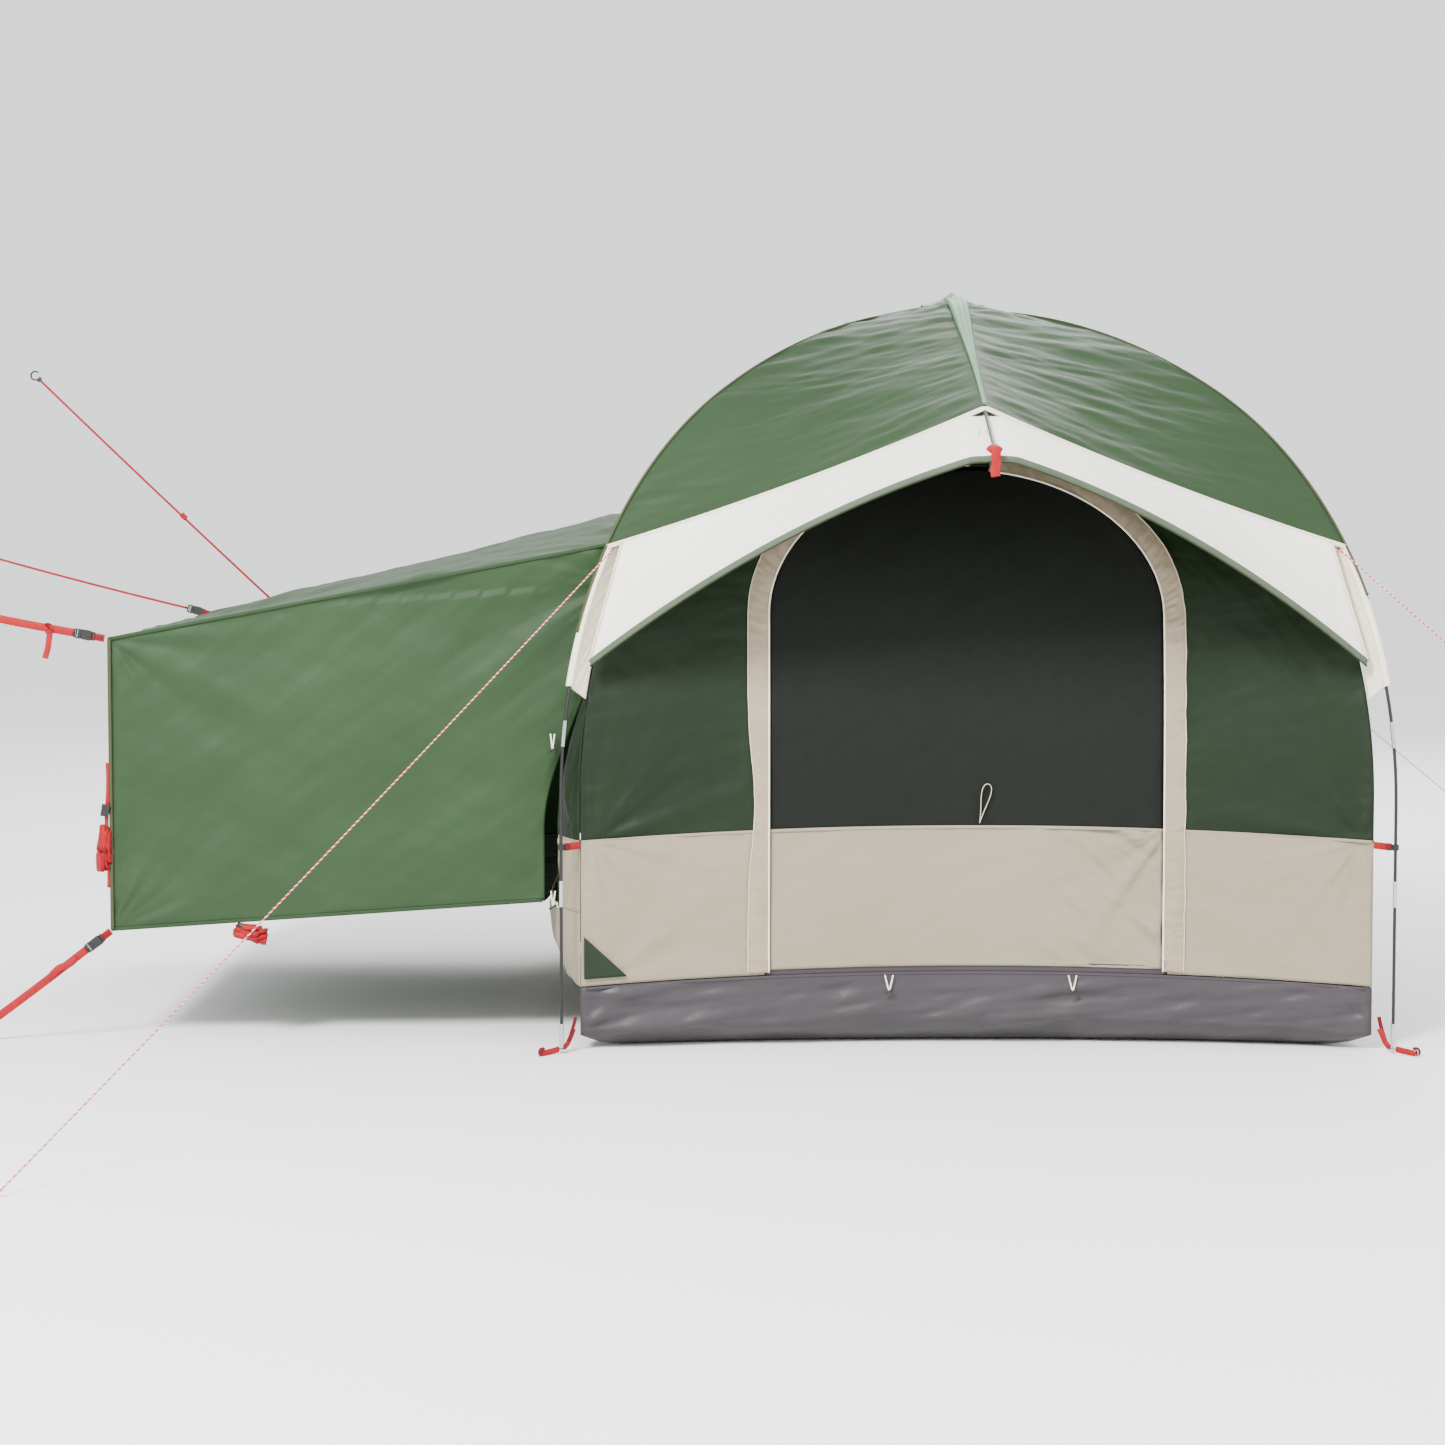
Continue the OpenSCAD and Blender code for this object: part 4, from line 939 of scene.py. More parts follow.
# ---------------------------------------------------------------- ceiling and fly
FLY_OFF, FRONT_END, SIDE_END, REAR_END, FLY_PEAK_Y = -0.012, 59.0, 66.0, 72.4, 1.372
RIDGE_R, RIDGE_HEIGHT, RIDGE_LEAN = 1.3, 2.235, math.radians(18.26)
RIDGE_TURN_Y = RIDGE_R * math.sin(RIDGE_LEAN)
VISOR_FRONT = 1.70


def ridge_z(y):
    y = np.asarray(y, float)
    arc = RIDGE_HEIGHT - RIDGE_R + np.sqrt(np.maximum(RIDGE_R ** 2 - y * y, 0))
    run = (RIDGE_HEIGHT - RIDGE_R * (1 - math.cos(RIDGE_LEAN))
           - (y - RIDGE_TURN_Y) * math.tan(RIDGE_LEAN))
    return np.where(y < RIDGE_TURN_Y, arc, run)


def over_pole(side, lean):
    s, z = pole_at(lean, FLY_OFF)
    t = s / ROOT2
    return np.stack(np.broadcast_arrays(side * t, -t, z), -1)


def gore_at(u, k, last):
    """Front or rear gore: ruled from the ridge pole (u = 0) to the main poles (u = -1 and 1)."""
    u, k = np.broadcast_arrays(np.asarray(u, float), np.asarray(k, float))
    pole = over_pole(np.where(u < 0, -1, 1), mix(4, last, k))
    y = mix(0.07, FLY_PEAK_Y, k)
    ridge = np.stack([0 * y, -y, ridge_z(y) + 0.013], -1)
    a = np.abs(u)[..., None]
    p = ridge * (1 - a) + pole * a
    p[..., 2] -= 0.07 * k * np.abs(u) * (1 - np.abs(u))
    return p


def fly_folds(across, along, seed):
    """Folds of the tight fly: long ones from the crown, and fine ones across."""
    h = 0.010 * fan(across, along, (0, 0), 0.9, 2.6, seed)
    h = h + 0.005 * creases(across, along, 14, 0.07, seed + 1, 8)
    h = h + 0.005 * creases(across, along, -14, 0.07, seed + 2, 8)
    h = h + 0.007 * ripple(across, along, 0.45, 0.16, seed + 3)
    h = h + 0.005 * fan(across, along, (-1.05, 1.25), 0.3, 3.2, seed + 4)
    return h + 0.005 * fan(across, along, (1.05, 1.25), 0.3, 3.2, seed + 5)


def ridge_gore(name, quarter, last, seed):
    k, u = np.linspace(0, 1, 110)[:, None], np.linspace(0.999, -0.999, 181)[None, :]
    p = gore_at(u + 0 * k, k + 0 * u, last)
    h = fly_folds(p[..., 0], 1.4 * k + 0 * u, seed)
    h = h * edge_fade(u * 0.5 + 0.5, k, 0.02) * ease(np.abs(u), 0.0, 0.06)
    piece = cover(f"{name}_cloth", turned(push(p, h), quarter), FLY, "root", [name])
    edge = turned(gore_at(np.linspace(-0.998, 0.998, 160), 1.0 + np.zeros(160), last)
                  - np.array([0, 0.001, 0.002]), quarter)
    cord_of(f"{name}_piping", edge, 0.006, 0.013, CREAM, "root")


def side_gore(name, quarter, edge, seed):
    """Side gore under a list of (place across, lean of the pole's normal at its lower edge)."""
    places, leans = np.array(edge).T
    order = np.argsort(places)
    u = np.linspace(0.999, -0.999, 131)[None, :]
    last = np.interp(u, places[order], leans[order])
    b = np.linspace(0, 1, 100)[:, None]
    s, z = pole_at(mix(3, last, b), FLY_OFF)
    t = s / ROOT2
    p = np.stack([u * t, 0.014 * (1 - u * u) * b - t, z], -1)
    h = fly_folds(u * t, 1.4 * b + 0 * u, seed) * edge_fade(u * 0.5 + 0.5, b, 0.02)
    piece = cover(f"{name}_cloth", turned(push(p, h), quarter), FLY, "root", [name])
    hem = turned(p[-1], quarter)
    out = turned(np.array([0.0, -0.0015, 0.0]), quarter)
    cord_of(f"{name}_hem", hem + out, 0.0035, 0.016, OLIVE, "root")


def fly():
    for quarter in range(4):
        b, u = np.linspace(0, 1, 30)[:, None], np.linspace(-0.998, 0.998, 40)[None, :]
        v = mix(WALL_TOP + 0.002, 2.105, 1 - (1 - b) ** 1.5)
        w = pole_s(v, WALL_GAP) / ROOT2
        p = np.stack([u * w, -w + 0.008 * (1 - u * u), v + 0 * u], -1)
        h = 0.004 * ripple(u, b, 0.3, 0.3, 140 + quarter) * edge_fade(u * 0.5 + 0.5, b, 0.05)
        cover(f"ceiling_gore_{quarter}", turned(push(p, h), quarter), CEILING, "root",
              ["ceiling_mesh"] if quarter == 0 else None, thick=0.001)
    crown = np.linspace(-0.13, 0.13, 12)
    x, y = np.meshgrid(crown, crown)
    cover("ceiling_crown", np.stack([x, y, 2.099 + 0.002 * np.cos(x * 12) * np.cos(y * 12)], -1),
          CREAM, "root")
    ridge_gore("fly_front", 0, FRONT_END, 100)
    ridge_gore("fly_rear", 2, REAR_END, 110)
    side_gore("fly_left", 3,
              [(0.999, 56.5), (0.85, 55), (0.6, 53), (0.3, 51.6), (0, 51.2), (-0.3, 51.6),
                              (-0.6, 53), (-0.85, 55), (-0.999, 58)], 120)
    side_gore("fly_right", 1, [(0.999, REAR_END), (-0.999, SIDE_END)], 130)
    for side in (-1, 1):
        for quarter, last in ((0, SIDE_END if side > 0 else 71.0), (2, 71.0)):
            lean = np.linspace(3.2, last, 120)
            seam = turned(over_pole(side, lean) * np.array([1.001, 1.001, 1]), quarter)
            seam[:, 2] += 0.001
            cord_of(f"pole_seam_{quarter}_{'left' if side < 0 else 'right'}", seam, 0.010, 0.004,
                    OLIVE if quarter == 0 else FLY, "root")
    ridge_strip(0)
    ridge_strip(2)
    crest()


def ridge_strip(quarter):
    """Pale strip on the ridge, creased in two and narrowing to the peak."""
    y = np.linspace(0.06, FLY_PEAK_Y - 0.004, 70)[:, None]
    c = np.linspace(-1, 1, 9)[None, :]
    half = mix(0.034, 0.006, ease(y, 0.05, 1.2))
    fold = 0.005 * np.cos(3 * math.pi * c) * (half / 0.034)
    z = ridge_z(y) + 0.0165 + 0.003 + fold + 0 * y
    p = turned(np.stack(np.broadcast_arrays(-c * half, -y, z), -1), quarter)
    cover(f"ridge_strip_{quarter}", p, CREST, "root", thick=0.0014)


def crest():
    """Crown cover: a small tent over the ridge with a pulled-up peak and two creases."""
    rows = np.linspace(-1, 1, 41)[:, None]
    u = np.linspace(-1, 1, 41)[None, :]
    r = np.sqrt(rows ** 2 + u ** 2)
    z = ridge_z(np.abs(rows) * 0.1) + 0.023 - 0.029 * np.abs(u) ** 0.8
    z = z + 0.016 * np.exp(-(r / 0.28) ** 1.5)
    z = z - 0.012 * ease(np.abs(rows), 0.4, 1.0) * (1 - np.abs(u))
    ang = np.arctan2(rows, u)
    z = z + 0.003 * np.sin(ang * 5 + 0.6) * ease(r, 0.1, 0.9)
    p = np.stack(np.broadcast_arrays(-u * 0.1, -rows * 0.1, z), -1)
    piece = cover("crown_cover", p, CREST, "root", ["ridge_crest"])


# ---------------------------------------------------------------- visor and its pole
def visor():
    b = np.linspace(0, 1, 40)[:, None]
    u = np.linspace(0.985, -0.985, 221)[None, :]
    dip = 1 - ease(np.abs(u), 0, 0.06)
    top = gore_at(0.97 * u, 1.0, FRONT_END) - np.array([0, 0.005, 0.003])
    top[..., 2] -= 0.020 * dip
    x = 1.14 * u
    low = np.stack([x, 0.53 * np.abs(u) ** 1.15 - VISOR_FRONT + 0.005 * dip,
                    1.733 - 0.2855 * np.abs(x) - 0.219 * x * x - 0.013 * dip], -1)
    p = top * (1 - b[..., None]) + low * b[..., None]
    run = 0.33 * b + 0 * u
    h = 0.006 * fan(1.1 * u, run, (-1.1, 0.05), 0.3, 3.0, 151)
    h = h + 0.006 * fan(1.1 * u, run, (1.1, 0.05), 0.3, 3.0, 152)
    h = h + 0.004 * ripple(1.1 * u, run, 0.3, 0.12, 153)
    h = h + 0.0025 * creases(1.1 * u, run, 60, 0.05, 154)
    h = h * edge_fade(u * 0.5 + 0.5, b, 0.03) * ease(np.abs(u), 0, 0.05)
    piece = cover("visor_cloth", push(p, h), WHITE, "root", ["visor"])
    hem = p[-1] - np.array([0, 0.001, 0.003])
    cord_of("visor_binding", hem, 0.003, 0.016, GREYGREEN, "root")
    cord_of("visor_piping", hem + np.array([0, -0.002, -0.009]), 0.004, 0.006, OLIVE, "root")
    for side in (0, -1):
        cord_of(f"visor_end_{side + 1}", p[:, side], 0.004, 0.012, CREAM, "root")


TUNNEL_R = 0.0105


def pole_web(side):
    """Cream tunnel on a front pole, with a web from it to the wall's corner."""
    lean = np.linspace(58.2, 77.6, 90)[:, None]
    reach = mix(0.092, 0.068, ease(lean, 58, 66))
    c = np.linspace(0, 1, 45)[None, :]
    turn = math.pi * (c - 0.36) / 0.28
    around = (c > 0.36) & (c < 0.64)
    web = np.where(c <= 0.36, 1 - c / 0.36, np.where(c >= 0.64, (c - 0.64) / 0.36, 0))
    in_plane = np.where(around, -TUNNEL_R * np.sin(turn), web * reach)
    beside = np.where(c <= 0.36, 1, -1) * mix(TUNNEL_R, THIN_CLOTH, web ** 0.35)
    across = np.where(around, TUNNEL_R * np.cos(turn), beside)
    end_cut = 0.9 * web * ease(lean, 70, 77.6)
    s, z = pole_at(lean + end_cut, 0)
    fold = 0.0030 * ripple(lean * 0.0227 * 6 + web * 0.9, 0 * lean + web, 0.06, 3.0, 160 + side)
    across = across + fold * np.sin(math.pi * web)
    a = np.radians(lean)
    s_in, z_in = s - in_plane * np.sin(a), z - in_plane * np.cos(a)
    ex, ey = side / ROOT2, -1 / ROOT2
    p = np.stack(np.broadcast_arrays(s_in * ex - across * ey * side,
                                     s_in * ey + across * ex * side, z_in), -1)
    label = "left" if side < 0 else "right"
    cover(f"pole_tunnel_{label}", p[:, ::-1] if side < 0 else p, CREAM, "root",
                  ["front_pole_sleeves"] if side < 0 else None, thick=THIN_CLOTH)
    for name, at in (("inner", 2), ("outer", 18)):
        cord_of(f"pole_tunnel_{label}_{name}", p[:, at] - np.array([0, 0.001, 0]), 0.004, 0.004,
                CREAM, "root", (0, 1, 0))


def ridge_end():
    """Red pocket on the ridge pole's front end, its pull tab, and the wire hook behind it."""
    y = VISOR_FRONT + 0.008
    centre = np.array([0, -y, float(ridge_z(VISOR_FRONT)) - 0.004])
    down = np.array([0, math.cos(RIDGE_LEAN), math.sin(RIDGE_LEAN)])
    body = densify([centre + down * 0.020, centre, centre - down * 0.014], 0.002)
    scale = [1.0 - 0.10 * math.cos(6.28 * k / (len(body) - 1)) for k in range(len(body))]
    outline = [(0.019 * math.cos(a) * (1 + 0.12 * math.cos(4 * a)), 0.011 * math.sin(a)) for a in
               np.linspace(0, 2 * math.pi, 20, endpoint=False)]
    sweep("ridge_pocket_cloth", body, outline, RED, level=(0, 0, 1), scale=scale,
          node="ridge_pocket")
    tab = [centre + offset for offset in (
        (0.004, -0.013, 0.006), (0.003, -0.015, -0.016), (0.004, -0.012, -0.034),
        (0.001, -0.010, -0.058), (0.003, -0.012, -0.074))]
    sweep("ridge_pocket_tab", densify(tab), strap_outline(0.026, 0.0022), RED, level=(0, 1, 0))
    hook_at = np.array([-0.012, -1.52, float(ridge_z(1.52)) - 0.004])
    ring = [hook_at + np.array([0.012 * math.sin(a) - 0.004, 0.0, -0.016 + 0.016 * math.cos(a)])
            for a in np.linspace(0.5, 6.0, 30)]
    sweep("ridge_wire_hook", ring, circle(0.0014, 6), WIRE, level=(0, 1, 0))


fly()
visor()
pole_web(-1)
pole_web(1)
ridge_end()


# ---------------------------------------------------------------- vehicle sleeve
MOUTH_X, NEAR_Y, FAR_Y, MOUTH_TOP, MOUTH_LOW = 2.55, 1.0, 1.055, 1.195, 0.335
ARCH_AT_DOME = 0.09


def sleeve_top(x):
    return MOUTH_TOP + (MOUTH_X - x) * 0.189


def sleeve_low(x):
    return MOUTH_LOW + (MOUTH_X - x) * 0.068


def sleeve_end(z):
    return wall_w(z) + left_bulge(z) + 0.002


def sleeve_folds(a, z, seed):
    """Folds of the sleeve: a runs from the mouth (0) to the tent (1), in metres from the mouth."""
    h = 0.020 * fan(a, z, (0.0, 0.0), 0.8, 2.4, seed)
    h = h + 0.020 * fan(a, z, (0.0, 0.86), 0.8, 2.4, seed + 1)
    h = h + 0.022 * fan(a, z, (1.50, 0.92), 0.5, 2.8, seed + 2)
    h = h + 0.004 * creases(a, z, 35, 0.09, seed + 3, 6)
    h = h + 0.004 * creases(a, z, -30, 0.10, seed + 4, 6)
    return h + 0.008 * ripple(a, z, 0.5, 0.3, seed + 5)


def sleeve_side(name, near, seed):
    a, b = np.linspace(0, 1, 200)[None, :], np.linspace(0, 1, 110)[:, None]
    x = mix(MOUTH_X, sleeve_end(mix(0.42, 1.475, b)), a)
    z = mix(sleeve_low(x), sleeve_top(x), b)
    y = -NEAR_Y if near else FAR_Y - 0.02 * a
    bulge = -0.012 if near else 0.012
    y = y + bulge * 4 * b * (1 - b) * 4 * a * (1 - a)
    p = np.stack(np.broadcast_arrays(-x, y, z), -1)
    h = sleeve_folds(MOUTH_X - x, z - sleeve_low(x), seed) * edge_fade(a, b, 0.02)
    piece = cover(f"{name}_cloth", push(p, h), SLEEVE, "root", [name])
    out = np.array([0, -0.002 if near else 0.002, 0])
    for edge, row in (("low", 0), ("top", -1)):
        cord_of(f"{name}_{edge}_seam", p[row, ::3] + out, 0.004, 0.010, SLEEVE, "root")
    side = p[:, 0] + out
    cord_of(f"{name}_hem", side + np.array([0.005, 0, 0]), 0.003, 0.014, OLIVE, "root",
            (0, 1, 0))


def sleeve_across(name, z1, lift, arch, over, seed):
    b, a = np.linspace(0, 1, 160)[:, None], np.linspace(0, 1, 110)[None, :]
    y = mix(-NEAR_Y, FAR_Y - 0.02 * b, a)
    q = 4 * a * (1 - a)
    x = mix(MOUTH_X, sleeve_end(z1 + arch * q), b)
    z = (sleeve_top(x) if over else sleeve_low(x)) + lift + arch * b * q
    p = np.stack(np.broadcast_arrays(-x, y, z), -1)
    h = sleeve_folds(MOUTH_X - x, y + 0.5, seed)
    h = h + 0.016 * fan(MOUTH_X - x, y, (1.56, -1.0), 0.35, 4.0, seed + 7) * (1 if over else 0.3)
    piece = cover(f"{name}_cloth", push(p, h * edge_fade(a, b, 0.02)), SLEEVE, "root",
                  [name])
    cord_of(f"{name}_hem", p[0, ::3] + np.array([0.006, 0, 0.001]), 0.014, 0.003, OLIVE, "root",
            (0, 0, 1))


def far_gusset():
    """Closes the far panel to the corner of the tent."""
    v, b = np.linspace(0.42, 1.475, 60)[:, None], np.linspace(0, 1, 8)[None, :]
    corner = wall_w(v) + 0.003
    y = mix(FAR_Y - 0.02, np.minimum(corner, 1.06), b)
    p = np.stack([-mix(sleeve_end(v), corner, b), y, v + 0 * b], -1)
    cover("sleeve_far_gusset", p, SLEEVE, "root", thick=THIN_CLOTH)


sleeve_side("sleeve_near", True, 200)
sleeve_side("sleeve_far", False, 210)
sleeve_across("sleeve_roof", 1.49, 0.002, ARCH_AT_DOME, True, 220)
sleeve_across("sleeve_floor", 0.41, -0.002, -0.04, False, 230)
far_gusset()


# ---------------------------------------------------------------- buckles
def along_frame(a, b):
    """Matrix of a frame at a with +X towards b and +Y level."""
    t = unit(np.subtract(b, a))
    level = unit(np.cross([0, 0, 1], t))
    up = np.cross(t, level)
    return Matrix([[t[0], level[0], up[0], a[0]], [t[1], level[1], up[1], a[1]],
                   [t[2], level[2], up[2], a[2]], [0, 0, 0, 1]])


def plate(outline, depth, taper=0.0008):
    """Bevelled plate of an (x, z) outline, depth thick along Y."""
    bm = bmesh.new()
    ring = [bm.verts.new((x, -depth / 2, z)) for x, z in outline]
    face = bm.faces.new(ring)
    made = bmesh.ops.extrude_face_region(bm, geom=[face])
    raised = [v for v in made["geom"] if isinstance(v, bmesh.types.BMVert)]
    bmesh.ops.translate(bm, vec=(0, depth, 0), verts=raised)
    bmesh.ops.recalc_face_normals(bm, faces=bm.faces)
    bmesh.ops.bevel(bm, geom=list(bm.edges), offset=taper, segments=2, affect="EDGES", profile=0.6)
    return bm


def place(name, bm, matrix, mat, body, slot_name, node=None):
    mesh = bpy.data.meshes.new(name)
    bm.transform(matrix)
    bm.to_mesh(mesh)
    bm.free()
    obj = link(name, mesh, mat, body, smooth=False)
    if node:
        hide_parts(node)
    return obj


def hollow(bm, boxes):
    """Cuts open boxes (x0, x1, y0, y1, z0, z1) out of a mesh."""
    mesh = bpy.data.meshes.new("cut_body")
    bm.to_mesh(mesh)
    bm.free()
    body = bpy.data.objects.new("cut_body", mesh)
    bpy.context.collection.objects.link(body)
    tools = []
    for x0, x1, y0, y1, z0, z1 in boxes:
        cutter = bmesh.new()
        bmesh.ops.create_cube(cutter, size=1)
        bmesh.ops.scale(cutter, vec=(x1 - x0, y1 - y0, z1 - z0), verts=cutter.verts)
        bmesh.ops.translate(cutter, vec=((x0 + x1) / 2, (y0 + y1) / 2, (z0 + z1) / 2),
                            verts=cutter.verts)
        tool_mesh = bpy.data.meshes.new("cutter")
        cutter.to_mesh(tool_mesh)
        cutter.free()
        tool = bpy.data.objects.new("cutter", tool_mesh)
        bpy.context.collection.objects.link(tool)
        cut = body.modifiers.new("cut", "BOOLEAN")
        cut.object, cut.operation, cut.solver = tool, "DIFFERENCE", "EXACT"
        tools.append(tool)
    evaluated = body.evaluated_get(bpy.context.evaluated_depsgraph_get())
    done = bpy.data.meshes.new_from_object(evaluated)
    out = bmesh.new()
    out.from_mesh(done)
    for obj in [body, *tools]:
        bpy.data.objects.remove(obj)
    return out


def socket(name, a, b, node=None):
    outline = [(0.0, -0.012), (0.004, -0.015), (0.030, -0.0145), (0.030, 0.0145), (0.004, 0.015),
               (0.0, 0.012)]
    bm = hollow(plate(outline, 0.012), [(0.004, 0.032, -0.0035, 0.0035, -0.0112, 0.0112),
                                        (0.010, 0.024, -0.0035, 0.0035, -0.02, -0.0105),
                                        (0.010, 0.024, -0.0035, 0.0035, 0.0105, 0.02)])
    place(name, bm, along_frame(a, b) @ Matrix.Translation((0.042, 0, 0)), BLACK, "root",
          "hardware_black", node)
    bar = plate([(-0.009, -0.013), (-0.001, -0.013), (-0.001, 0.013), (-0.009, 0.013)], 0.006)
    bar = hollow(bar, [(-0.0065, -0.0035, -0.01, 0.01, -0.0105, 0.0105)])
    place(name + "_bar", bar, along_frame(a, b) @ Matrix.Translation((0.042, 0, 0)), BLACK, "root",
          "hardware_black")


def tongue(name, a, b, body):
    outline = [(0.0, -0.012), (0.003, -0.015), (0.020, -0.0135), (0.022, -0.011), (0.022, 0.011),
               (0.020, 0.0135), (0.003, 0.015), (0.0, 0.012)]
    bm = hollow(plate(outline, 0.010), [(0.010, 0.0135, -0.02, 0.02, -0.0110, 0.0110),
                                        (0.0165, 0.019, -0.02, 0.02, -0.0105, 0.0105)])
    at = along_frame(a, b) @ Matrix.Translation((0.073, 0, 0))
    place(name + "_body", bm, at, BLACK, body, "hardware_black", name)
    for side in (-1, 1):
        outline = [(0.001, side * 0.006), (-0.012, side * 0.0065), (-0.020, side * 0.0098),
                   (-0.0245, side * 0.0082), (-0.0255, side * 0.006), (-0.014, side * 0.0045),
                   (0.001, side * 0.0035)]
        prong = plate(outline[::-side], 0.005, 0.0004)
        place(f"{name}_prong_{side + 1}", prong, at, BLACK, body, "hardware_black")
    mid = plate([(0.001, -0.0022), (0.001, 0.0022), (-0.022, 0.0022), (-0.0255, 0),
                 (-0.022, -0.0022)], 0.0045, 0.0004)
    place(f"{name}_guide", mid, at, BLACK, body, "hardware_black")


def wrapped_strap(name, a, b, node=None):
    """Webbing from a mouth corner to its buckle's socket, doubled and box-stitched."""
    path = [np.asarray(a) + unit(np.subtract(b, a)) * d for d in np.linspace(0.004, 0.040, 10)]
    strap = sweep(name, path, upright(0.022, 0.003), RED)
    if node:
        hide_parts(node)
    across = np.array([0, -0.0022, 0])
    # stitch line in the darker red, as painted shade
    sweep(name + "_stitch", [p + across for p in path[1:-2]], upright(0.014, 0.0006), RED_PAINTED_SHADE)


def bundle(name, centre, along, length, thick, seed):
    """Spare webbing folded up and tied into a bundle."""
    centre, along = np.asarray(centre, float), unit(along)
    up = np.array([0, 0, 1.0]) if abs(along[2]) < 0.7 else np.array([1.0, 0, 0])
    side = unit(np.cross(along, up))
    up = np.cross(side, along)
    pts, turns = [], 4
    count = 150
    for k in range(count):
        t = k / (count - 1)
        swing = math.cos(2 * math.pi * turns * t)
        wob = noise.noise((t * 9, seed, 0.3))
        pts.append(centre + along * (length * 0.42 * swing * (1 - 0.25 * t) + 0.006 * wob)
                   + up * (thick * (t - 0.5) * 1.1 + 0.010 * noise.noise((t * 6, seed, 4.0)))
                   + side * thick * 0.45 * math.sin(2 * math.pi * turns * t + seed))
    sweep(name, densify(pts[::3]), strap_outline(0.0022, 0.022), RED, level=tuple(along))
    wrap = [centre + up * thick * 0.62 * math.cos(a) + side * thick * 0.66 * math.sin(a)
            + along * 0.004 * math.sin(a * 0.5) for a in np.linspace(0, 4 * math.pi, 60)]
    # tie in the darker red, as painted shade in the bundle's wrap
    sweep(name + "_tie", wrap, strap_outline(0.018, 0.002), RED_PAINTED_SHADE, level=tuple(along))


def mouth_hardware():
    corners = (("near_top", NEAR_TOP, NEAR_TOP_END, "buckle_near_top"),
               ("near_low", NEAR_LOW, NEAR_LOW_END, "buckle_near_bottom"),
               ("far_top", FAR_TOP, FAR_TOP_END, "buckle_far_top"))
    for k, (label, a, b, node) in enumerate(corners):
        socket(f"socket_{label}", a, b, "buckle_sockets" if k == 0 else None)
        tongue(node, a, b, node)
        wrapped_strap(f"mouth_strap_{label}", a, b, "mouth_webbing" if k == 0 else None)
    edge = [np.array([-MOUTH_X - 0.006 - 0.003 * math.sin(z * 22), -NEAR_Y - 0.006, z])
            for z in np.linspace(0.46, 0.83, 50)]
    sweep("mouth_edge_tape", edge, strap_outline(0.012, 0.003), RED, level=(0, 1, 0))
    bundle("mouth_bundle", (-MOUTH_X - 0.014, -NEAR_Y - 0.006, 0.575), (0.1, 0, 1), 0.15, 0.022,
           3.0)
    buckle = plate([(0, -0.012), (0.036, -0.012), (0.036, 0.012), (0, 0.012)], 0.008)
    turn = (Matrix.Translation((-MOUTH_X - 0.014, -NEAR_Y - 0.014, 0.672))
            @ Matrix.Rotation(math.radians(-80), 4, "Y"))
    place("mouth_bundle_buckle", buckle, turn, BLACK, "root", "hardware_black")
    bundle("floor_bundle", (-2.135, -NEAR_Y + 0.004, 0.327), (1, 0, -0.25), 0.105, 0.024, 7.0)
    tail = densify([(-2.175, -1.0, 0.352), (-2.165, -1.006, 0.345), (-2.145, -1.008, 0.335),
                    (-2.120, -1.006, 0.334)])
    sweep("floor_bundle_tail", tail, strap_outline(0.012, 0.003), BLACK, level=(0, 1, 0))


mouth_hardware()


# ---------------------------------------------------------------- corner and side hardware
def shadow_strip(name, points, width, thick, mats, body="root", level=(0, 1, 0),
         node=None):
    """Flat tape along a smooth curve."""
    sweep(name, densify(points), strap_outline(width, thick), mats, body, level=level,
          node=node)


def corner_hardware():
    for k in range(4):
        turn = math.radians(-45 - 90 * k)
        c, s = math.cos(turn), math.sin(turn)

        def at(r, side, z):
            return (FOOT_S + r) * np.array([c, s,
                                            0]) + side * np.array([-s, c, 0]) + np.array([0, 0, z])

        level = (-s, c, 0)
        node = "corner_webbing" if k == 0 else None
        shadow_strip(f"corner_tub_tape_{k}",
             [at(-0.048, 0, 0.066), at(-0.040, 0.001, 0.052), at(-0.026, 0, 0.028),
                                      at(-0.014, 0,
                                         0.017), at(-0.010, 0, 0.0135)], 0.018, 0.0022, RED,
             level=level, node=node)
        # wall tape in the darker red, as painted shade
        shadow_strip(f"corner_wall_tape_{k}", [at(-0.052, 0.004, 0.100), at(-0.044, 0.003, 0.074),
                                       at(-0.030, 0.001,
                                          0.040), at(-0.024, 0, 0.031)], 0.014, 0.002, RED_PAINTED_SHADE,
             level=level)
        shadow_strip(f"corner_peg_tape_{k}",
             [at(0.010, 0, 0.0130), at(0.030, 0.001, 0.0105), at(0.056, 0, 0.0085),
                                      at(0.078, 0, 0.0070)], 0.018, 0.0022, RED, level=level)
        hook = [at(0.078 + 0.008 * math.sin(a), 0.002, 0.0115 + 0.0055 * (1 - math.cos(a)) - 0.004)
                for a in np.linspace(0, 4.2, 26)]
        # peg end in the darker red, as painted shade
        shadow_strip(f"corner_peg_end_{k}", hook, 0.016, 0.002, RED_PAINTED_SHADE, level=level)
        loop = [at(0.012 * math.cos(a), 0.012 * math.sin(a),
                   0.0125) for a in np.linspace(0, 2 * math.pi, 40)]
        sweep(f"corner_ring_{k}", loop, circle(0.0014, 8), WIRE)
        sweep(f"corner_clip_tape_{k}", densify([at(-0.074, 0.001, 0.601), at(-0.029, 0, 0.6)]),
                    upright(0.021, 0.003), RED)
        # folded end in the darker red, as painted shade in the fold
        sweep(f"corner_clip_fold_{k}", densify([at(-0.031, 0, 0.6), at(-0.014, 0, 0.6)]),
                     upright(0.022, 0.0115), RED_PAINTED_SHADE)


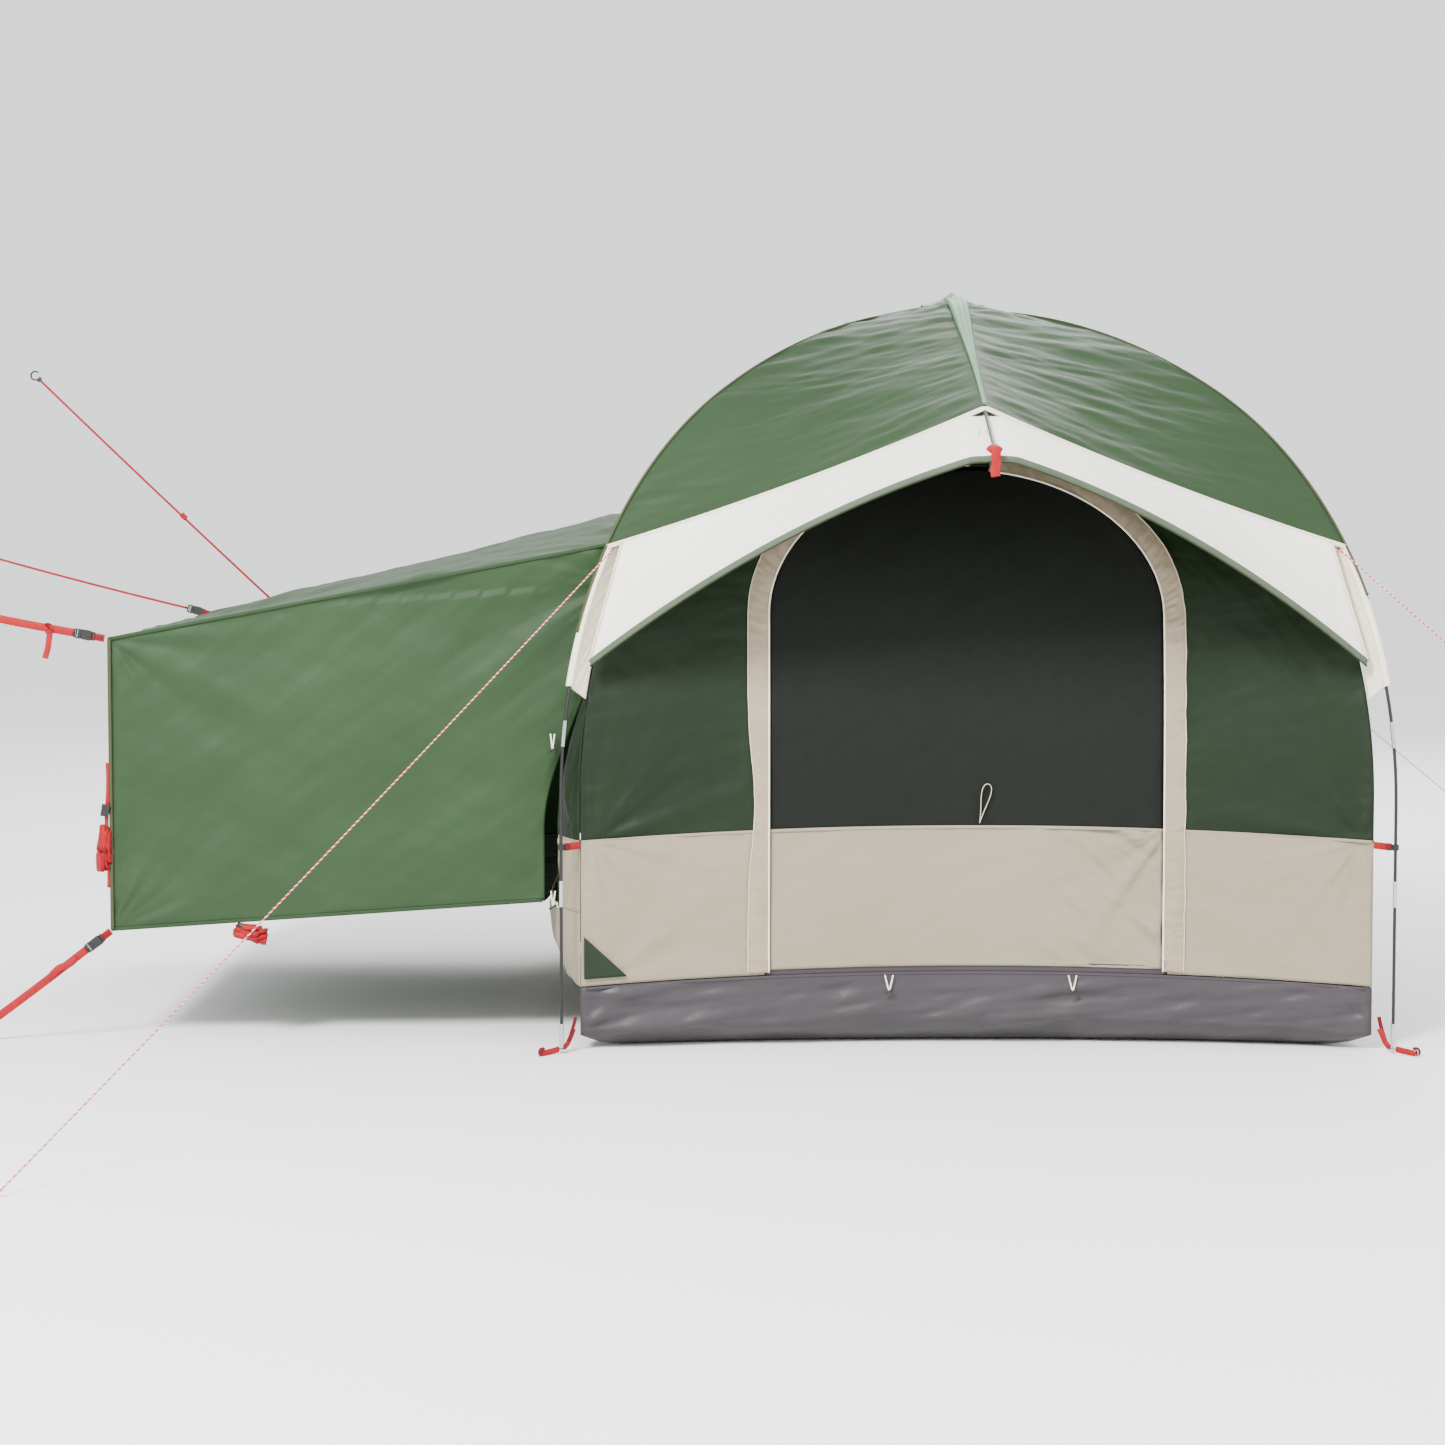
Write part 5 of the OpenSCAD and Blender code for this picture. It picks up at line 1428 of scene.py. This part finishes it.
def toggle(name, pivot, body, spread):
    """Triangle of white tape through a tilted black bar."""
    x, y, z = pivot
    low = (x, y - 0.012, z - 0.041)
    path = [(x - spread, y, z + 0.002), (x - spread * 0.55, y - 0.006, z - 0.020), low,
            (x + spread * 0.55, y - 0.006, z - 0.020), (x + spread, y, z + 0.002)]
    shadow_strip(name + "_tape", path, 0.0045, 0.0016, CREAM, body, level=(0, 1, 0),
         node=name)
    lean = math.radians(60)
    half = np.array([math.sin(lean), 0, math.cos(lean)]) * 0.013
    centre = np.array([x, y - 0.014, z - 0.044])
    shape = [centre + half * t for t in np.linspace(-1, 1, 14)]
    radius = [0.0020, 0.0030, 0.0034, 0.0034, 0.0032, 0.0028, 0.0026, 0.0026, 0.0028, 0.0032,
              0.0034, 0.0034, 0.0030, 0.0020]
    verts, faces, ring = [], [], 14
    side, up = np.array([0, 1.0, 0]), np.array([math.cos(lean), 0, -math.sin(lean)])
    for point, r in zip(shape, radius):
        for j in range(ring):
            a = 2 * math.pi * j / ring
            verts.append(point + r * (math.cos(a) * side + math.sin(a) * up))
    for i in range(len(shape) - 1):
        for j in range(ring):
            k = (j + 1) % ring
            faces.append((i * ring + j, i * ring + k, (i + 1) * ring + k, (i + 1) * ring + j))
    faces.append(tuple(range(ring))[::-1])
    faces.append(tuple(range((len(shape) - 1) * ring, len(shape) * ring)))
    bar = link(name + "_bar", mesh_from(name + "_bar", verts, faces), BLACK, body)


def toggles():
    for name, x in (("sill_toggle_left", -0.25), ("sill_toggle_right", 0.29)):
        pivot = wall_at(np.array(x), np.array(TUB - 0.012), 0.010)
        toggle(name, [float(c) for c in pivot], name, 0.012)
    for name, z in (("side_toggle_upper", 0.915), ("side_toggle_lower", 0.45)):
        toggle(name, (-1.24, -1.024, z), name, 0.006)


corner_hardware()
toggles()


# ---------------------------------------------------------------- floor and light
def studio():
    floor = bpy.data.objects.new("studio_floor", mesh_from(
        "studio_floor", [(-40, -30, -0.001), (40, -30, -0.001), (40, 50, -0.001),
                         (-40, 50, -0.001)],
        [(0, 1, 2, 3)]))
    bpy.context.collection.objects.link(floor)
    pale = new_material("pale_floor", srgb(250, 250, 249), 0.9)[0]
    floor.data.materials.append(pale)
    world = bpy.data.worlds.new("studio")
    bpy.context.scene.world = world
    world.use_nodes = True
    back = world.node_tree.nodes["Background"]
    back.inputs["Color"].default_value = (0.97, 0.985, 1.0, 1)
    back.inputs["Strength"].default_value = 1.6
    for name, at, aim, size, power in (
            ("key", (-4.5, -8.5, 8.0), (0, 0, 0.9), 3.0, 2500),
            ("fill", (8.0, -6.5, 4.5), (0, 0, 0.9), 5.0, 450),
            ("back", (1.5, 8.5, 7.0), (0, 0, 1.2), 5.0, 800)):
        data = bpy.data.lights.new(name, "AREA")
        data.shape, data.size, data.energy = "DISK", size, power
        lamp = bpy.data.objects.new(name, data)
        lamp.location = at
        lamp.rotation_euler = (Vector(aim) - Vector(at)).to_track_quat("-Z", "Y").to_euler()
        bpy.context.collection.objects.link(lamp)


studio()
